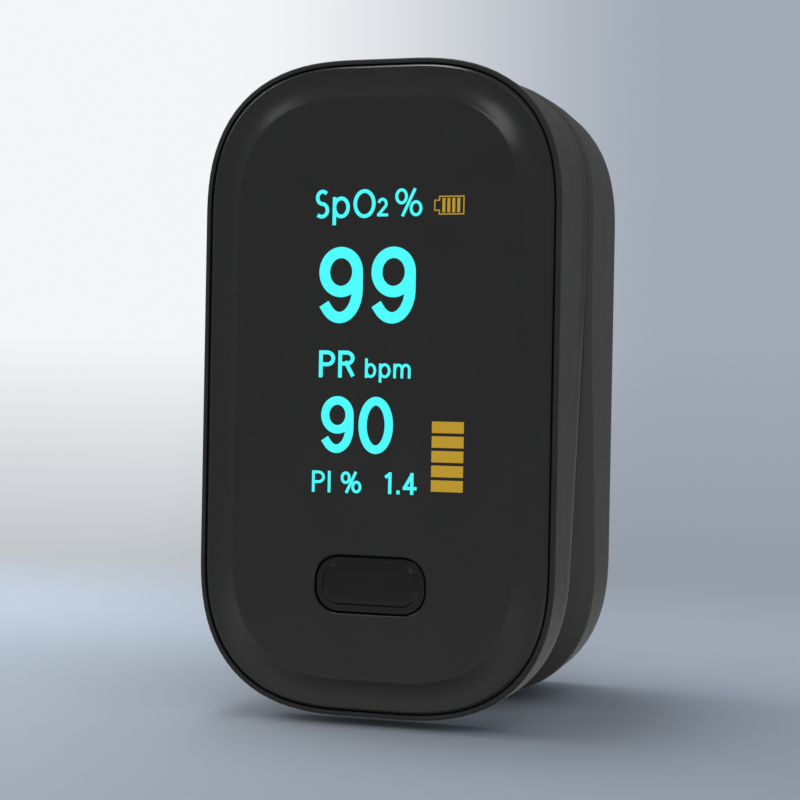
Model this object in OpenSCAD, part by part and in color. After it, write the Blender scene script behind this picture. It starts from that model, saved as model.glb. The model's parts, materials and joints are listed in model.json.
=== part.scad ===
// Fingertip pulse oximeter, closed, standing on its squeeze end with the display facing -Y.
// The finger goes in at the top; squeezing the two halves at the bottom opens the top.
// Depths (d) run backwards from the front of the lens. Heights (z) run up from the base.

/* [Case] */
// Height of the case
case_h = 63; // [62.6:0.1:63.4]
// Depth of the closed case, from the lens to the battery door
case_depth = 33; // [33:0.1:34]
// Width of the lower half at its widest
lower_w = 35.6; // [35.4:0.1:36]
// Width of the upper half
upper_w = 34.4; // [34.2:0.1:34.6]
// Height of the upper half
upper_h = 61.2; // [61:0.1:61.4]
// Corner radius of the upper half
corner_r = 14.7; // [14.2:0.1:15]
// Corner exponent: 2 is a circle, more is squarer
squareness = 2.53; // [2:0.01:3]
// Wall thickness of the upper half
wall = 1.4; // [1.2:0.1:1.5]
// Width of the lower half's front rim
rim_w = 2.5; // [2.4:0.1:2.6]

/* [Lens] */
// Width of the lens
lens_w = 33.12; // [32.9:0.01:33.2]
// Height of the lens
lens_h = 60.02; // [59.8:0.01:60.1]
// Thickness of the lens
lens_t = 1.5; // [1.4:0.1:1.5]
// Gap between the lens and the shell's rim
lens_gap = 0.14; // [0.1:0.01:0.2]
// Distance from the lens's edge to its raised centre
plateau_inset = 3.1; // [2.5:0.1:4]
// Fall from the raised centre to the lens's edge
slope_drop = 0.65; // [0.3:0.05:0.9]
// Distance of the shell's rim behind the raised centre
rim_setback = 0.85; // [0.7:0.05:1]
// Width and depth of the chamfer round the shell's rim
rim_chamfer = 0.4; // [0.3:0.05:0.4]

/* [Parting line] */
// Height of the point where the squeeze gap begins
apex_z = 40; // [39:0.5:41]
// Depth of the upper half's edge above that point
part_d = 13.9; // [13.7:0.1:14]
// Gap between the closed halves
part_gap = 0.15; // [0.1:0.05:0.2]
// Slope of the upper half's edge below that point, in degrees
upper_slope = 12.1; // [11.5:0.1:12.5]
// Fall of the lower half's front rim from that point to the base
rim_fall = 4; // [3.8:0.1:4.2]
// Fall of the crease between the lower half's bevel and its side
crease_fall = 5.9; // [5.7:0.1:6.1]
// Shape of both falling curves
fall_curve = 1.35; // [1.2:0.05:1.5]
// Width of the lower half's bevel above that point
bevel_top = 0.5; // [0.4:0.05:0.6]
// Width of the bevel at the base
bevel_base = 2.5; // [2.2:0.1:2.6]

/* [Finger channel] */
// Radius of the finger pads' faces
finger_r = 10.57; // [10.4:0.01:10.7]
// Height of the channel between the closed pads
channel_h = 7.8; // [7.6:0.1:8]
// Depth of the channel's middle
channel_d = 13.3; // [13.2:0.05:13.4]
// Thickness of the silicone pads
pad_t = 1.15; // [1:0.05:1.2]
// Height of the channel's closed end
channel_end = 22.2; // [22:0.1:22.6]
// Height of the light source and the sensor
sensor_z = 35; // [34:0.5:36]

/* [Hinge] */
// Depth of the hinge axis
hinge_d = 13.1; // [13.05:0.05:13.15]
// Height of the hinge axis
hinge_z = 30; // [29.5:0.1:30.5]
// Radius of the hinge pins
pin_r = 1; // [0.9:0.05:1.1]
// Radius of the hinge ears
ear_r = 2.4; // [2.3:0.05:2.45]
// Radial running clearance between a pin and an upper ear
pin_clearance = 0.05; // [0.02:0.01:0.08]

/* [Display] */
// Width of the display module
oled_w = 23; // [22.5:0.1:23.2]
// Height of the display module
oled_h = 34.5; // [34:0.1:34.6]
// Height of the display module's centre above the base
oled_z = 35.7; // [35.5:0.1:36]
// Width of the front glass, which leaves a ledge for the ribbon
oled_glass_w = 19.7; // [19:0.1:20]

/* [Button] */
// Width of the button
button_w = 10.5; // [10:0.1:10.6]
// Height of the button
button_h = 5.16; // [5:0.02:5.2]
// Corner radius of the button
button_r = 2.3; // [2:0.1:2.4]
// Height of the button's centre above the base
button_z = 13.3; // [13.2:0.1:13.4]
// Travel of the button
button_travel = 0.35; // [0.25:0.05:0.4]

/* [Batteries] */
// Diameter of an AAA cell
cell_d = 10.5; // [10.2:0.1:10.5]
// Length of an AAA cell with its terminal
cell_len = 44.5; // [44:0.1:44.5]
// Distance of each cell from the middle plane
cell_x = 5.4; // [5.3:0.05:5.45]
// Width of the battery door
door_w = 23.9; // [23.6:0.1:23.9]
// Thickness of the battery door
door_t = 1.55; // [1.5:0.05:1.6]

/* [Hidden] */
$fn = 64;

far = 60;                        // longer than the object, for cuts that run right through
mid_z = case_h / 2;
corner_steps = 9;
edge_steps = 14;
side_steps = 8;                  // divisions of the lower half's straight sides

// Upper half, from the front
upper_hw = upper_w / 2;
upper_hh = upper_h / 2;
lens_hw = lens_w / 2;
lens_hh = lens_h / 2;
lens_r = corner_r - (upper_hw - lens_hw);
glue_back = lens_t + 0.2;
face_back = glue_back + 1.2;     // back of the shell's front wall
oled_front = glue_back + 0.05;
oled_back = oled_front + 1.4;
holder_back = oled_back + 0.45;
board_back = holder_back + 1;
oled_ledge_d = oled_front + 0.7; // front of the display's ribbon ledge
upper_skin_inset = 0.9;          // the inner frames sit this far inside the parting edges
lower_skin_inset = 0.15;
skin_t = 1;
fit_gap = 0.15;

// Finger channel
channel_front = channel_d - channel_h / 2;
channel_back = channel_d + channel_h / 2;
upper_axis_d = channel_front + finger_r;   // axis of the upper pad's arc
lower_axis_d = channel_back - finger_r;
trough_r = finger_r + pad_t + 0.05;
trough_out_r = trough_r + 1;
pad_setback = 0.2;               // the pads end this far inside the inner frames
window_w = 5;
window_h = 5.6;
window_t = 0.85;

// Lower half
lower_hw = lower_w / 2;
lower_hh = case_h / 2;
edge_corner_r = corner_r - 1.4;  // the upper half's corners are tighter at its parting edge
rim_d = part_d + part_gap;
crease_d = rim_d + 0.3;
deck_t = 1.6;
cavity_inset = 2.2;
rim_inset = bevel_base + 0.4;    // the outer form's front face starts this far inside its sides
bay_wall_x = 11;
bay_bottom = 6.4;
bay_top = 57.4;
cavity_back = 28;
bay_back = case_depth - 2.55;
door_front = case_depth - door_t;
tongue_w = 25.8;
groove_w = 26.1;
cell_r = cell_d / 2;
cell_depth = door_front - 0.25 - cell_r;
low_cell_z = bay_bottom + 1.55;  // the right cell stands low, its terminal down
high_cell_z = low_cell_z + 3.45; // the left cell stands high, its terminal up

// Hinge
lower_ear_x = [10.2, 11.2];
upper_ear_x = [13.6, 14.8];
hinge_pocket_r = 2.6;
hinge_pocket_x = [9.9, 15.2];

// Screws: [distance from the middle, height]
upper_screw_at = [[12.2, 8.5], [12.6, 54.5]];
lower_screw_at = [[13.4, 9], [13.4, 54]];
shank_r = 0.7;
head_r = 1.15;
head_t = 0.6;
upper_seat_d = 5.6;
post_top_d = 4.75;               // the upper shell's screw posts end here
lower_seat_d = 18.9;

function y_at(d) = d - case_depth / 2;

// ---- Outlines and edges ----

// A quarter of a squarish circle of radius 1
quarter = [for (i = [0:corner_steps])
    let (a = 90 * i / corner_steps) [pow(cos(a), 2 / squareness), pow(sin(a), 2 / squareness)]];

// Shape of a rounded rectangle, anticlockwise: [side x, side z, corner x, corner z] for each point
function form(steps) = let (q = quarter, n = corner_steps) concat(
    [for (i = [0:steps - 1]) [1, -1 + 2 * i / steps, 1, 0]],
    [for (i = [0:n]) if (i < n) [1, 1, q[i][0], q[i][1]] else [1, 1, 0, 1]],
    [for (i = [n:-1:1]) [-1, 1, -q[i][0], q[i][1]]],
    [for (i = [0:steps - 1]) [-1, 1 - 2 * i / steps, -1, 0]],
    [for (i = [0:n]) [-1, -1, -q[i][0], -q[i][1]]],
    [for (i = [n:-1:1]) [1, -1, q[i][0], -q[i][1]]]);

function form_point(f, hw, hh, r) = [f[0] * (hw - r) + f[2] * r, f[1] * (hh - r) + f[3] * r];

// A rounded rectangle with squarish corners, by its half width and half height
function outline(hw, hh, r) = [for (f = form(1)) form_point(f, hw, hh, r)];

// Depth of the upper half's edge at a height
function upper_edge(z) = part_d - tan(upper_slope) * max(0, apex_z - z);

// Share of the full fall at a height: 0 above the apex, 1 at the base
function fall(z) = pow(sin(90 * min(1, max(0, (apex_z - z) / apex_z))), fall_curve);

// Depth of the lower half's front rim, and of its crease, at a height
function lower_edge(z) = rim_d + rim_fall * fall(z);
function crease(z) = crease_d + crease_fall * fall(z);
function bevel_w(z) = bevel_top + (bevel_base - bevel_top) * fall(z);

edge_heights = [for (i = [0:edge_steps]) apex_z * i / edge_steps];

module slab(d0, d1, hw, hh, r)
    translate([0, y_at(d1), mid_z]) rotate([90, 0, 0])
        linear_extrude(d1 - d0) polygon(outline(hw, hh, r));

module block(x0, x1, d0, d1, z0, z1)
    translate([x0, y_at(d0), z0]) cube([x1 - x0, d1 - d0, z1 - z0]);

// Extrudes a side view, given in Y and Z, from x0 to x1
module along_x(x0, x1)
    translate([x0, 0, 0]) rotate([90, 0, 90]) linear_extrude(x1 - x0) children();

module axis_x(d, z, r, x0, x1)
    translate([x0, y_at(d), z]) rotate([0, 90, 0]) cylinder(r = r, h = x1 - x0);

module axis_y(x, z, r, d0, d1)
    translate([x, y_at(d1), z]) rotate([90, 0, 0]) cylinder(r = r, h = d1 - d0);

module channel(d, r, z0, z1)
    translate([0, y_at(d), z0]) cylinder(r = r, h = z1 - z0, $fn = 96);

module both_sides() {
    children();
    mirror([1, 0, 0]) children();
}

module round_rect_2d(w, h, r) {
    square([w - 2 * r, h], center = true);
    square([w, h - 2 * r], center = true);
    for (x = [-1, 1], y = [-1, 1]) translate([x * (w / 2 - r), y * (h / 2 - r)]) circle(r);
}

module round_slab(z, d0, d1, w, h, r)
    translate([0, y_at(d1), z]) rotate([90, 0, 0]) linear_extrude(d1 - d0) round_rect_2d(w, h, r);

// Side view of everything in front of the upper edge, less an inset
module upper_side_2d(inset)
    polygon([[y_at(-5), -5], [y_at(upper_edge(-5) - inset), -5], [y_at(part_d - inset), apex_z],
             [y_at(part_d - inset), 70], [y_at(-5), 70]]);

// Side view of everything behind the lower edge, plus an inset
module lower_side_2d(inset)
    polygon(concat([[y_at(far), -5], [y_at(lower_edge(0) + inset), -5]],
                   [for (z = edge_heights) [y_at(lower_edge(z) + inset), z]],
                   [[y_at(rim_d + inset), 70], [y_at(far), 70]]));

// A point of an outline at a depth
function place(p, d) = [p[0], y_at(d), mid_z + p[1]];

// Solid through rings of equal length, closed by a fan round a middle point at each end
module loft(rings, front_d, back_d) {
    count = len(rings[0]);
    last = len(rings) - 1;
    front_middle = count * (last + 1);
    back_middle = front_middle + 1;
    points = concat([for (r = rings) each r], [place([0, 0], front_d), place([0, 0], back_d)]);
    faces = concat(
        [for (i = [0:count - 1]) [front_middle, (i + 1) % count, i]],
        [for (k = [0:last - 1], i = [0:count - 1])
            let (j = (i + 1) % count)
            each [[k * count + i, k * count + j, (k + 1) * count + j],
                  [k * count + i, (k + 1) * count + j, (k + 1) * count + i]]],
        [for (i = [0:count - 1]) [back_middle, last * count + i, last * count + (i + 1) % count]]);
    polyhedron(points, faces);
}

// ---- Wires ----

function unit(v) = v / norm(v);
function tangent(p, i) = unit(p[min(i + 1, len(p) - 1)] - p[max(i - 1, 0)]);

// Round wire along a path; side is a direction that the path never points along
module wire(path, r, side, facets = 8) {
    n = len(path);
    points = [for (i = [0:n - 1])
        let (t = tangent(path, i), u = unit(cross(side, t)), v = cross(t, u))
        for (k = [0:facets - 1])
            path[i] + r * (cos(360 * k / facets) * u + sin(360 * k / facets) * v)];
    faces = concat([[for (k = [0:facets - 1]) k]],
                   [[for (k = [facets - 1:-1:0]) (n - 1) * facets + k]],
                   [for (i = [0:n - 2], k = [0:facets - 1])
                       [i * facets + k, (i + 1) * facets + k,
                        (i + 1) * facets + (k + 1) % facets, i * facets + (k + 1) % facets]]);
    polyhedron(points, faces);
}

// Cross-slotted screw, head towards +Y when flip is 1 and towards -Y when it is -1
module screw(x, z, seat, length, flip) {
    difference() {
        union() {
            axis_y(x, z, head_r, min(seat, seat + flip * head_t), max(seat, seat + flip * head_t));
            axis_y(x, z, shank_r, min(seat, seat - flip * length), max(seat, seat - flip * length));
        }
        for (a = [0, 90])
            translate([x, y_at(seat + flip * head_t), z]) rotate([0, a, 0])
                cube([1.4, 0.6, 0.3], center = true);
    }
}

// ---- Upper half ----

module display_lens()
    color("#1c1c1e")
    difference() {
        hull() {
            slab(0, 0.1, lens_hw - plateau_inset, lens_hh - plateau_inset, lens_r - plateau_inset);
            slab(slope_drop, lens_t, lens_hw, lens_hh, lens_r);
        }
        round_slab(button_z, -1, lens_t + 1, button_w + 0.24, button_h + 0.24, button_r + 0.12);
    }

module lens_adhesive()
    color("#101010")
    difference() {
        slab(lens_t, glue_back, lens_hw - 0.3, lens_hh - 0.3, lens_r - 0.3);
        block(-oled_w / 2 - 0.4, oled_w / 2 + 0.4, 0, 5,
              oled_z - oled_h / 2 - 0.4, oled_z + oled_h / 2 + 0.4);
        round_slab(button_z, 0, 5, button_w + 2, button_h + 2, button_r + 1);
    }

// Solid outer form of the upper half, with a chamfer round its front
module upper_outer() {
    sections = [[rim_setback, rim_chamfer, corner_r - rim_chamfer],
                [rim_setback + rim_chamfer, 0, corner_r],
                [part_d + 1, 0, edge_corner_r]];
    rings = [for (s = sections)
        [for (f = form(1)) place(form_point(f, upper_hw - s[1], upper_hh - s[1], s[2]), s[0])]];
    loft(rings, rim_setback, part_d + 1);
}

module upper_shell() {
    pocket = lens_gap;
    color("#2b2b2d")
    difference() {
        union() {
            difference() {
                upper_outer();
                slab(-1, glue_back, lens_hw + pocket, lens_hh + pocket, lens_r + pocket);
                slab(face_back, far, upper_hw - wall, upper_hh - wall, corner_r - wall);
            }
            for (p = upper_screw_at)
                both_sides() axis_y(p[0], p[1], 1.6, face_back - 0.2, post_top_d);
        }
        block(-oled_w / 2 - 0.2, oled_w / 2 + 0.2, 0, face_back + 1,
              oled_z - oled_h / 2 - 0.2, oled_z + oled_h / 2 + 0.2);
        block(-oled_w / 2 - 2.4, -oled_w / 2, 0, face_back + 1, oled_z - 6.3, oled_z + 6.3);
        round_slab(button_z, 0, glue_back + 0.8, button_w + 1.6, button_h + 1.6, button_r + 0.8);
        axis_y(0, button_z, 2.4, 0, face_back + 1);
        channel(upper_axis_d, trough_r, 50, 70);
        for (p = upper_screw_at)
            both_sides() axis_y(p[0], p[1], shank_r + 0.02, glue_back + 0.6, far);
        difference() {
            block(-far, far, 0, far, -5, 75);
            along_x(-far, far) upper_side_2d(0);
        }
    }
}

module button_cap()
    color("#232325") {
        round_slab(button_z, 0.05, lens_t, button_w, button_h, button_r);
        round_slab(button_z, lens_t, glue_back + 0.4, button_w + 1.2, button_h + 1.2, button_r + 0.6);
        axis_y(0, button_z, 1.9, glue_back + 0.4, face_back - 0.7);
    }

switch_front = holder_back - 0.9;

module switch_body()
    color("silver")
    difference() {
        block(-1.75, 1.75, switch_front, holder_back, button_z - 1.5, button_z + 1.5);
        axis_y(0, button_z, 0.86, switch_front - 1, holder_back - 0.1);
    }

module switch_plunger()
    color("#202020")
    axis_y(0, button_z, 0.8, face_back - 0.7, holder_back - 0.1 - button_travel - 0.05);

module oled_panel()
    color("#0b1014") {
        block(oled_w / 2 - oled_glass_w, oled_w / 2, oled_front, oled_ledge_d,
              oled_z - oled_h / 2, oled_z + oled_h / 2);
        block(-oled_w / 2, oled_w / 2, oled_ledge_d, oled_back, oled_z - oled_h / 2, oled_z + oled_h / 2);
    }

module oled_holder()
    color("#d8d8d4")
    difference() {
        block(-11.8, 11.8, oled_back, holder_back, oled_z - 17, oled_z + 17);
        block(-8.5, 8.5, 0, 10, oled_z - 13, oled_z + 13);
        block(-20, -11.3, 0, 10, oled_z - 6.3, oled_z + 6.3);
    }

module oled_flex() {
    ribbon_t = 0.1;
    bend_x = -oled_w / 2 - 2;
    color("#b9742a") {
        block(bend_x, -oled_w / 2 + 1.6, oled_ledge_d - ribbon_t, oled_ledge_d,
              oled_z - 5.5, oled_z + 5.5);
        block(bend_x, bend_x + ribbon_t, oled_ledge_d, holder_back, oled_z - 5.5, oled_z + 5.5);
    }
}

module main_board()
    color("#15452b")
    difference() {
        intersection() {
            slab(holder_back, board_back,
                 upper_hw - wall - 0.3, upper_hh - wall - 0.3, corner_r - wall - 0.3);
            block(-far, far, 0, 20, 6.6, 58);
        }
        for (p = upper_screw_at)
            both_sides() axis_y(p[0], p[1], 1.75, 0, 20);
    }

// Packages on the back of the board: [x, z, width, height, thickness]
chips = [[-6, 46, 7, 7, 1.4], [6.5, 45, 5, 5, 1.1], [8.5, 25, 4, 4, 1.6], [-8.5, 23, 3, 3, 1],
         [0, 17, 7, 2.2, 1.2], [6, 34, 2.4, 5, 0.9], [0, 53, 3.2, 1.6, 0.9]];

module board_chips()
    color("#222222")
    for (c = chips)
        block(c[0] - c[2] / 2, c[0] + c[2] / 2, board_back, board_back + c[4],
              c[1] - c[3] / 2, c[1] + c[3] / 2);

module piezo_buzzer()
    color("#1a1a1a")
    difference() {
        axis_y(-7.5, 34, 4.5, board_back, board_back + 1.6);
        axis_y(-7.5, 34, 0.6, board_back + 0.8, board_back + 5);
    }

module hinge_ear(x, root_d, bore_r)
    difference() {
        union() {
            axis_x(hinge_d, hinge_z, ear_r, x[0], x[1]);
            block(x[0], x[1], min(hinge_d, root_d), max(hinge_d, root_d),
                  hinge_z - ear_r, hinge_z + ear_r);
        }
        axis_x(hinge_d, hinge_z, bore_r, x[0] - 1, x[1] + 1);
    }

module upper_chassis()
    color("#38383a") {
        difference() {
            intersection() {
                union() {
                    difference() {
                        along_x(-far, far) upper_side_2d(upper_skin_inset);
                        along_x(-far, far) upper_side_2d(upper_skin_inset + skin_t);
                    }
                    channel(upper_axis_d, trough_out_r, channel_end - 1.2, 60.5);
                    both_sides()
                        axis_y(upper_screw_at[1][0], upper_screw_at[1][1], 1.9, post_top_d + 0.05, far);
                }
                slab(face_back, far,
                     upper_hw - wall - fit_gap, upper_hh - wall - fit_gap, corner_r - wall - fit_gap);
                along_x(-far, far) upper_side_2d(upper_skin_inset);
            }
            channel(upper_axis_d, trough_r, channel_end, 70);
            both_sides() axis_x(hinge_d, hinge_z, hinge_pocket_r, hinge_pocket_x[0], hinge_pocket_x[1]);
            block(-2.2, 2.2, 0, channel_front, sensor_z - 2.8, sensor_z + 2.8);
            block(-3.4, 3.4, 0, far, 14.8, 18.4);
            for (p = upper_screw_at)
                both_sides() {
                    axis_y(p[0], p[1], shank_r + 0.15, 0, far);
                    axis_y(p[0], p[1], head_r + 0.1, upper_seat_d, far);
                }
        }
        both_sides() hinge_ear(upper_ear_x, hinge_d - 3.3, pin_r + pin_clearance);
    }

module upper_pad()
    color("#4a4a4c")
    difference() {
        intersection() {
            channel(upper_axis_d, trough_r - 0.05, channel_end + 0.1, mid_z + upper_hh - 0.1);
            along_x(-far, far) upper_side_2d(upper_skin_inset + pad_setback);
        }
        channel(upper_axis_d, finger_r, 0, 70);
        block(-window_w / 2 - 0.05, window_w / 2 + 0.05, 0, far,
              sensor_z - window_h / 2 - 0.05, sensor_z + window_h / 2 + 0.05);
    }

module emitter_board()
    color("#15452b")
    block(-3.6, 3.6, channel_front - 2.85, channel_front - 2.25, sensor_z - 5.5, sensor_z + 5.5);

module emitter_leds()
    color("#f0e6d0")
    for (z = [-1.3, 1.3])
        block(-1, 1, channel_front - 2.25, channel_front - 1.35, sensor_z + z - 0.7, sensor_z + z + 0.7);

module emitter_window()
    color("#7a2020")
    block(-window_w / 2, window_w / 2, channel_front - window_t, channel_front - 0.05,
          sensor_z - window_h / 2, sensor_z + window_h / 2);

module upper_screws()
    color("#8a8a8c")
    for (p = upper_screw_at, side = [-1, 1]) screw(side * p[0], p[1], upper_seat_d, 3.1, 1);

// ---- Lower half ----

// Outer surface of the lower half at a depth: [depth, inset of the sides, inset of the ends, radius]
widest_d = 27;
lower_r = 14.7;
body_slices = [[widest_d, 0, 0, lower_r],
               [case_depth - 3, 0.6, 0.6, lower_r - 0.6],
               [case_depth - 1, 2, 2, lower_r - 2],
               [case_depth, 4, 4, lower_r - 4]];
side_draft = 0.004;              // the sides widen by this much for each mm of depth
end_draft = 0.05;                // and the ends by this much
end_draft_d = 21;                // the ends widen down to this depth only

// A point of the outer surface at a depth, moved inwards by an inset
function side_point(f, d, inset) =
    form_point(f, lower_hw - side_draft * (widest_d - d) - inset,
               lower_hh - end_draft * max(0, end_draft_d - d) - inset, lower_r - inset);

// Solid outer form of the lower half, lofted from the rim over the bevel and the sides to the back
module lower_outer() {
    shape = form(side_steps);
    function height(f) = mid_z + side_point(f, widest_d, 0)[1];
    function rim_point(f, inset) =
        place(side_point(f, lower_edge(height(f)), inset), lower_edge(height(f)));
    rings = concat(
        [[for (f = shape) rim_point(f, rim_inset)]],
        [[for (f = shape) rim_point(f, bevel_w(height(f)))]],
        [[for (f = shape) place(side_point(f, crease(height(f)), 0), crease(height(f)))]],
        [[for (f = shape) place(side_point(f, end_draft_d, 0), end_draft_d)]],
        [for (s = body_slices)
            [for (f = shape) place(form_point(f, lower_hw - s[1], lower_hh - s[2], s[3]), s[0])]]);
    loft(rings, rim_d, case_depth);
}

module lower_shell()
    color("#303032")
    difference() {
        lower_outer();
        difference() {
            union() {
                slab(5, cavity_back, lower_hw - cavity_inset, lower_hh - rim_w, 12.8);
                block(-12.15, 12.15, 20, bay_back, bay_bottom - 0.1, bay_top + 0.2);
            }
            for (p = lower_screw_at)
                both_sides() axis_y(p[0], p[1], 1.3, lower_seat_d + 0.65, far);
        }
        block(-door_w / 2 - 0.15, door_w / 2 + 0.15, bay_back - 1, far, 7, bay_top + 0.2);
        block(-door_w / 2 - 0.15, door_w / 2 + 0.15, door_front - 0.05, far, 7, 75);
        block(-groove_w / 2, groove_w / 2, bay_back, door_front + 0.1, 7, 75);
        channel(lower_axis_d, trough_r, 50, 70);
        for (p = lower_screw_at)
            both_sides() axis_y(p[0], p[1], shank_r + 0.02, 10, lower_seat_d + 5);
        block(-2.4, 2.4, case_depth - 3.5, far, 3.6, 5.4);
        translate([0, y_at(case_depth - 2.1), -1]) cylinder(r = 0.9, h = 5);
    }

module bay_walls() {
    both_sides() block(bay_wall_x, bay_wall_x + 1, 10, bay_back - 0.15, bay_bottom, 51.5);
    for (z = [bay_bottom, bay_top - 1])
        block(-bay_wall_x - 0.1, bay_wall_x + 0.1, 18, bay_back - 0.15, z, z + 1);
}

module lower_chassis() {
    outer_hw = lower_hw - cavity_inset - fit_gap;
    outer_hh = lower_hh - rim_w - fit_gap;
    color("#38383a") {
        difference() {
            intersection() {
                union() {
                    intersection() {
                        union() {
                            difference() {
                                along_x(-far, far) lower_side_2d(lower_skin_inset);
                                along_x(-far, far) lower_side_2d(lower_skin_inset + deck_t);
                            }
                            channel(lower_axis_d, trough_out_r, channel_end - 1.2, 60.3);
                            for (p = lower_screw_at)
                                both_sides() axis_y(p[0], p[1], 1.9, 10, lower_seat_d + 0.6);
                        }
                        slab(5, cavity_back, outer_hw, outer_hh, 12.6);
                    }
                    bay_walls();
                }
                along_x(-far, far) lower_side_2d(lower_skin_inset);
            }
            channel(lower_axis_d, trough_r, channel_end, 70);
            both_sides() axis_x(hinge_d, hinge_z, hinge_pocket_r, hinge_pocket_x[0], hinge_pocket_x[1]);
            block(-2.2, 2.2, channel_back, far, sensor_z - 2.8, sensor_z + 2.8);
            block(-3.4, 3.4, 10, 22, 14.6, 20.4);
            for (p = lower_screw_at)
                both_sides() {
                    axis_y(p[0], p[1], shank_r + 0.15, 10, lower_seat_d + 1);
                    axis_y(p[0], p[1], head_r + 0.1, 10, lower_seat_d);
                }
        }
        block(-6, 6, hinge_d, lower_edge(channel_end) + 1, channel_end - 1.6, channel_end - 0.4);
        both_sides() hinge_ear(lower_ear_x, hinge_d + 3.4, pin_r + 0.01);
    }
}

module lower_pad()
    color("#4a4a4c")
    difference() {
        intersection() {
            channel(lower_axis_d, trough_r - 0.05, channel_end + 0.1, case_h - 0.6);
            along_x(-far, far) lower_side_2d(lower_skin_inset + pad_setback);
        }
        channel(lower_axis_d, finger_r, 0, 70);
        block(-window_w / 2 - 0.05, window_w / 2 + 0.05, 0, far,
              sensor_z - window_h / 2 - 0.05, sensor_z + window_h / 2 + 0.05);
    }

module detector_board()
    color("#15452b")
    block(-3.6, 3.6, channel_back + 2.25, channel_back + 2.85, sensor_z - 4, sensor_z + 5.5);

module photodiode()
    color("#101018")
    block(-1.5, 1.5, channel_back + 1.3, channel_back + 2.25, sensor_z - 1.5, sensor_z + 1.5);

module detector_window()
    color("#301010")
    block(-window_w / 2, window_w / 2, channel_back + 0.05, channel_back + window_t,
          sensor_z - window_h / 2, sensor_z + window_h / 2);

// An AAA cell standing on z = 0
module cell() {
    nub = 0.9;
    cylinder(r = cell_r, h = cell_len - nub);
    cylinder(r = 1.9, h = cell_len);
}

module battery_left()
    color("#5b5f66") translate([-cell_x, y_at(cell_depth), high_cell_z]) cell();

module battery_right()
    color("#5b5f66")
    translate([cell_x, y_at(cell_depth), low_cell_z + cell_len]) mirror([0, 0, 1]) cell();

// Cone of wire from a wide turn at z0 to a narrow turn at z1
module cone_spring(x, z0, z1) {
    turns = 4.5;
    steps = 72;
    path = [for (i = [0:steps])
        let (f = i / steps, r = 4 - 1.6 * f, a = 360 * turns * f)
        [x + r * cos(a), y_at(cell_depth) + r * sin(a), z0 + (z1 - z0) * f]];
    wire(path, 0.25, [0, 0, 1]);
}

module contact_springs()
    color("silver") {
        cone_spring(-cell_x, bay_bottom + 1.3, high_cell_z - 0.3);
        cone_spring(cell_x, bay_top - 1.3, low_cell_z + cell_len + 0.3);
    }

module contact_plates() {
    plate_t = 0.25;
    size = 7;
    color("silver") {
        block(cell_x - size / 2, cell_x + size / 2, cell_depth - size / 2, cell_depth + size / 2,
              bay_bottom + 1.02, bay_bottom + 1.02 + plate_t);
        block(-cell_x - size / 2, -cell_x + size / 2, cell_depth - size / 2, cell_depth + size / 2,
              bay_top - 1.02 - plate_t, bay_top - 1.02);
    }
}

module battery_door()
    color("#2b2b2d")
    difference() {
        union() {
            intersection() {
                lower_outer();
                block(-door_w / 2, door_w / 2, door_front, far, 7.15, 75);
            }
            both_sides() block(11.2, tongue_w / 2, bay_back + 0.15, door_front, 8, 56);
            both_sides() block(11.2, door_w / 2, bay_back + 0.15, door_front + 0.5, 8, 56);
        }
        for (i = [0:5]) block(-6, 6, case_depth - 0.5, far, 11 + 1.6 * i, 11.8 + 1.6 * i);
    }

module lower_screws()
    color("#8a8a8c")
    for (p = lower_screw_at, side = [-1, 1]) screw(side * p[0], p[1], lower_seat_d, 4.8, -1);

module hinge_pins()
    color("silver")
    both_sides() {
        axis_x(hinge_d, hinge_z, pin_r, lower_ear_x[0] - 0.15, upper_ear_x[1] + 0.1);
        axis_x(hinge_d, hinge_z, pin_r + 0.5, upper_ear_x[1] + 0.1, upper_ear_x[1] + 0.5);
    }

// Coil round each pin, with one leg on each half that pushes the squeeze ends apart
module torsion_springs() {
    coil_r = 1.75;
    wire_r = 0.28;
    x0 = lower_ear_x[1] + 0.35;
    x1 = upper_ear_x[0] - 0.3;
    back_turn = 6.8;
    front_turn = 167.1 + 720;
    steps = 56;
    coil = [for (i = [0:steps])
        let (f = i / steps, a = back_turn + (front_turn - back_turn) * f)
        [x0 + (x1 - x0) * f, y_at(hinge_d) + coil_r * cos(a), hinge_z + coil_r * sin(a)]];
    path = concat([[x0, y_at(15.7), 23]], coil, [[x1, y_at(9.75), 23]]);
    color("silver") both_sides() wire(path, wire_r, [1, 0, 0]);
}

// Ribbon from the main board, across the gap behind the finger stop, to the detector board
module flex_cable() {
    ribbon_t = 0.12;
    start_d = board_back + 1.25;
    end_d = channel_back + 2.85 + 0.03;
    bend = 1.2;
    bow = 1.6;
    steps = 16;
    across = [for (i = [0:steps])
        let (f = i / steps)
        [start_d + (end_d - bend - start_d) * f, 17 - bow * pow(sin(180 * f), 2)]];
    turn = [for (a = [15:15:90]) [end_d - bend + bend * sin(a), 17 + bend * (1 - cos(a))]];
    path = concat(across, turn, [[end_d, sensor_z - 1]]);
    last = len(path) - 1;
    normals = [for (i = [0:last])
        let (t = unit(path[min(i + 1, last)] - path[max(i - 1, 0)])) [-t[1], t[0]]];
    outer = [for (i = [0:last]) path[i] - normals[i] * ribbon_t];
    ribbon = concat(path, [for (i = [last:-1:0]) outer[i]]);
    color("#b9742a") along_x(-3, 3) polygon([for (p = ribbon) [y_at(p[0]), p[1]]]);
}

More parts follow.
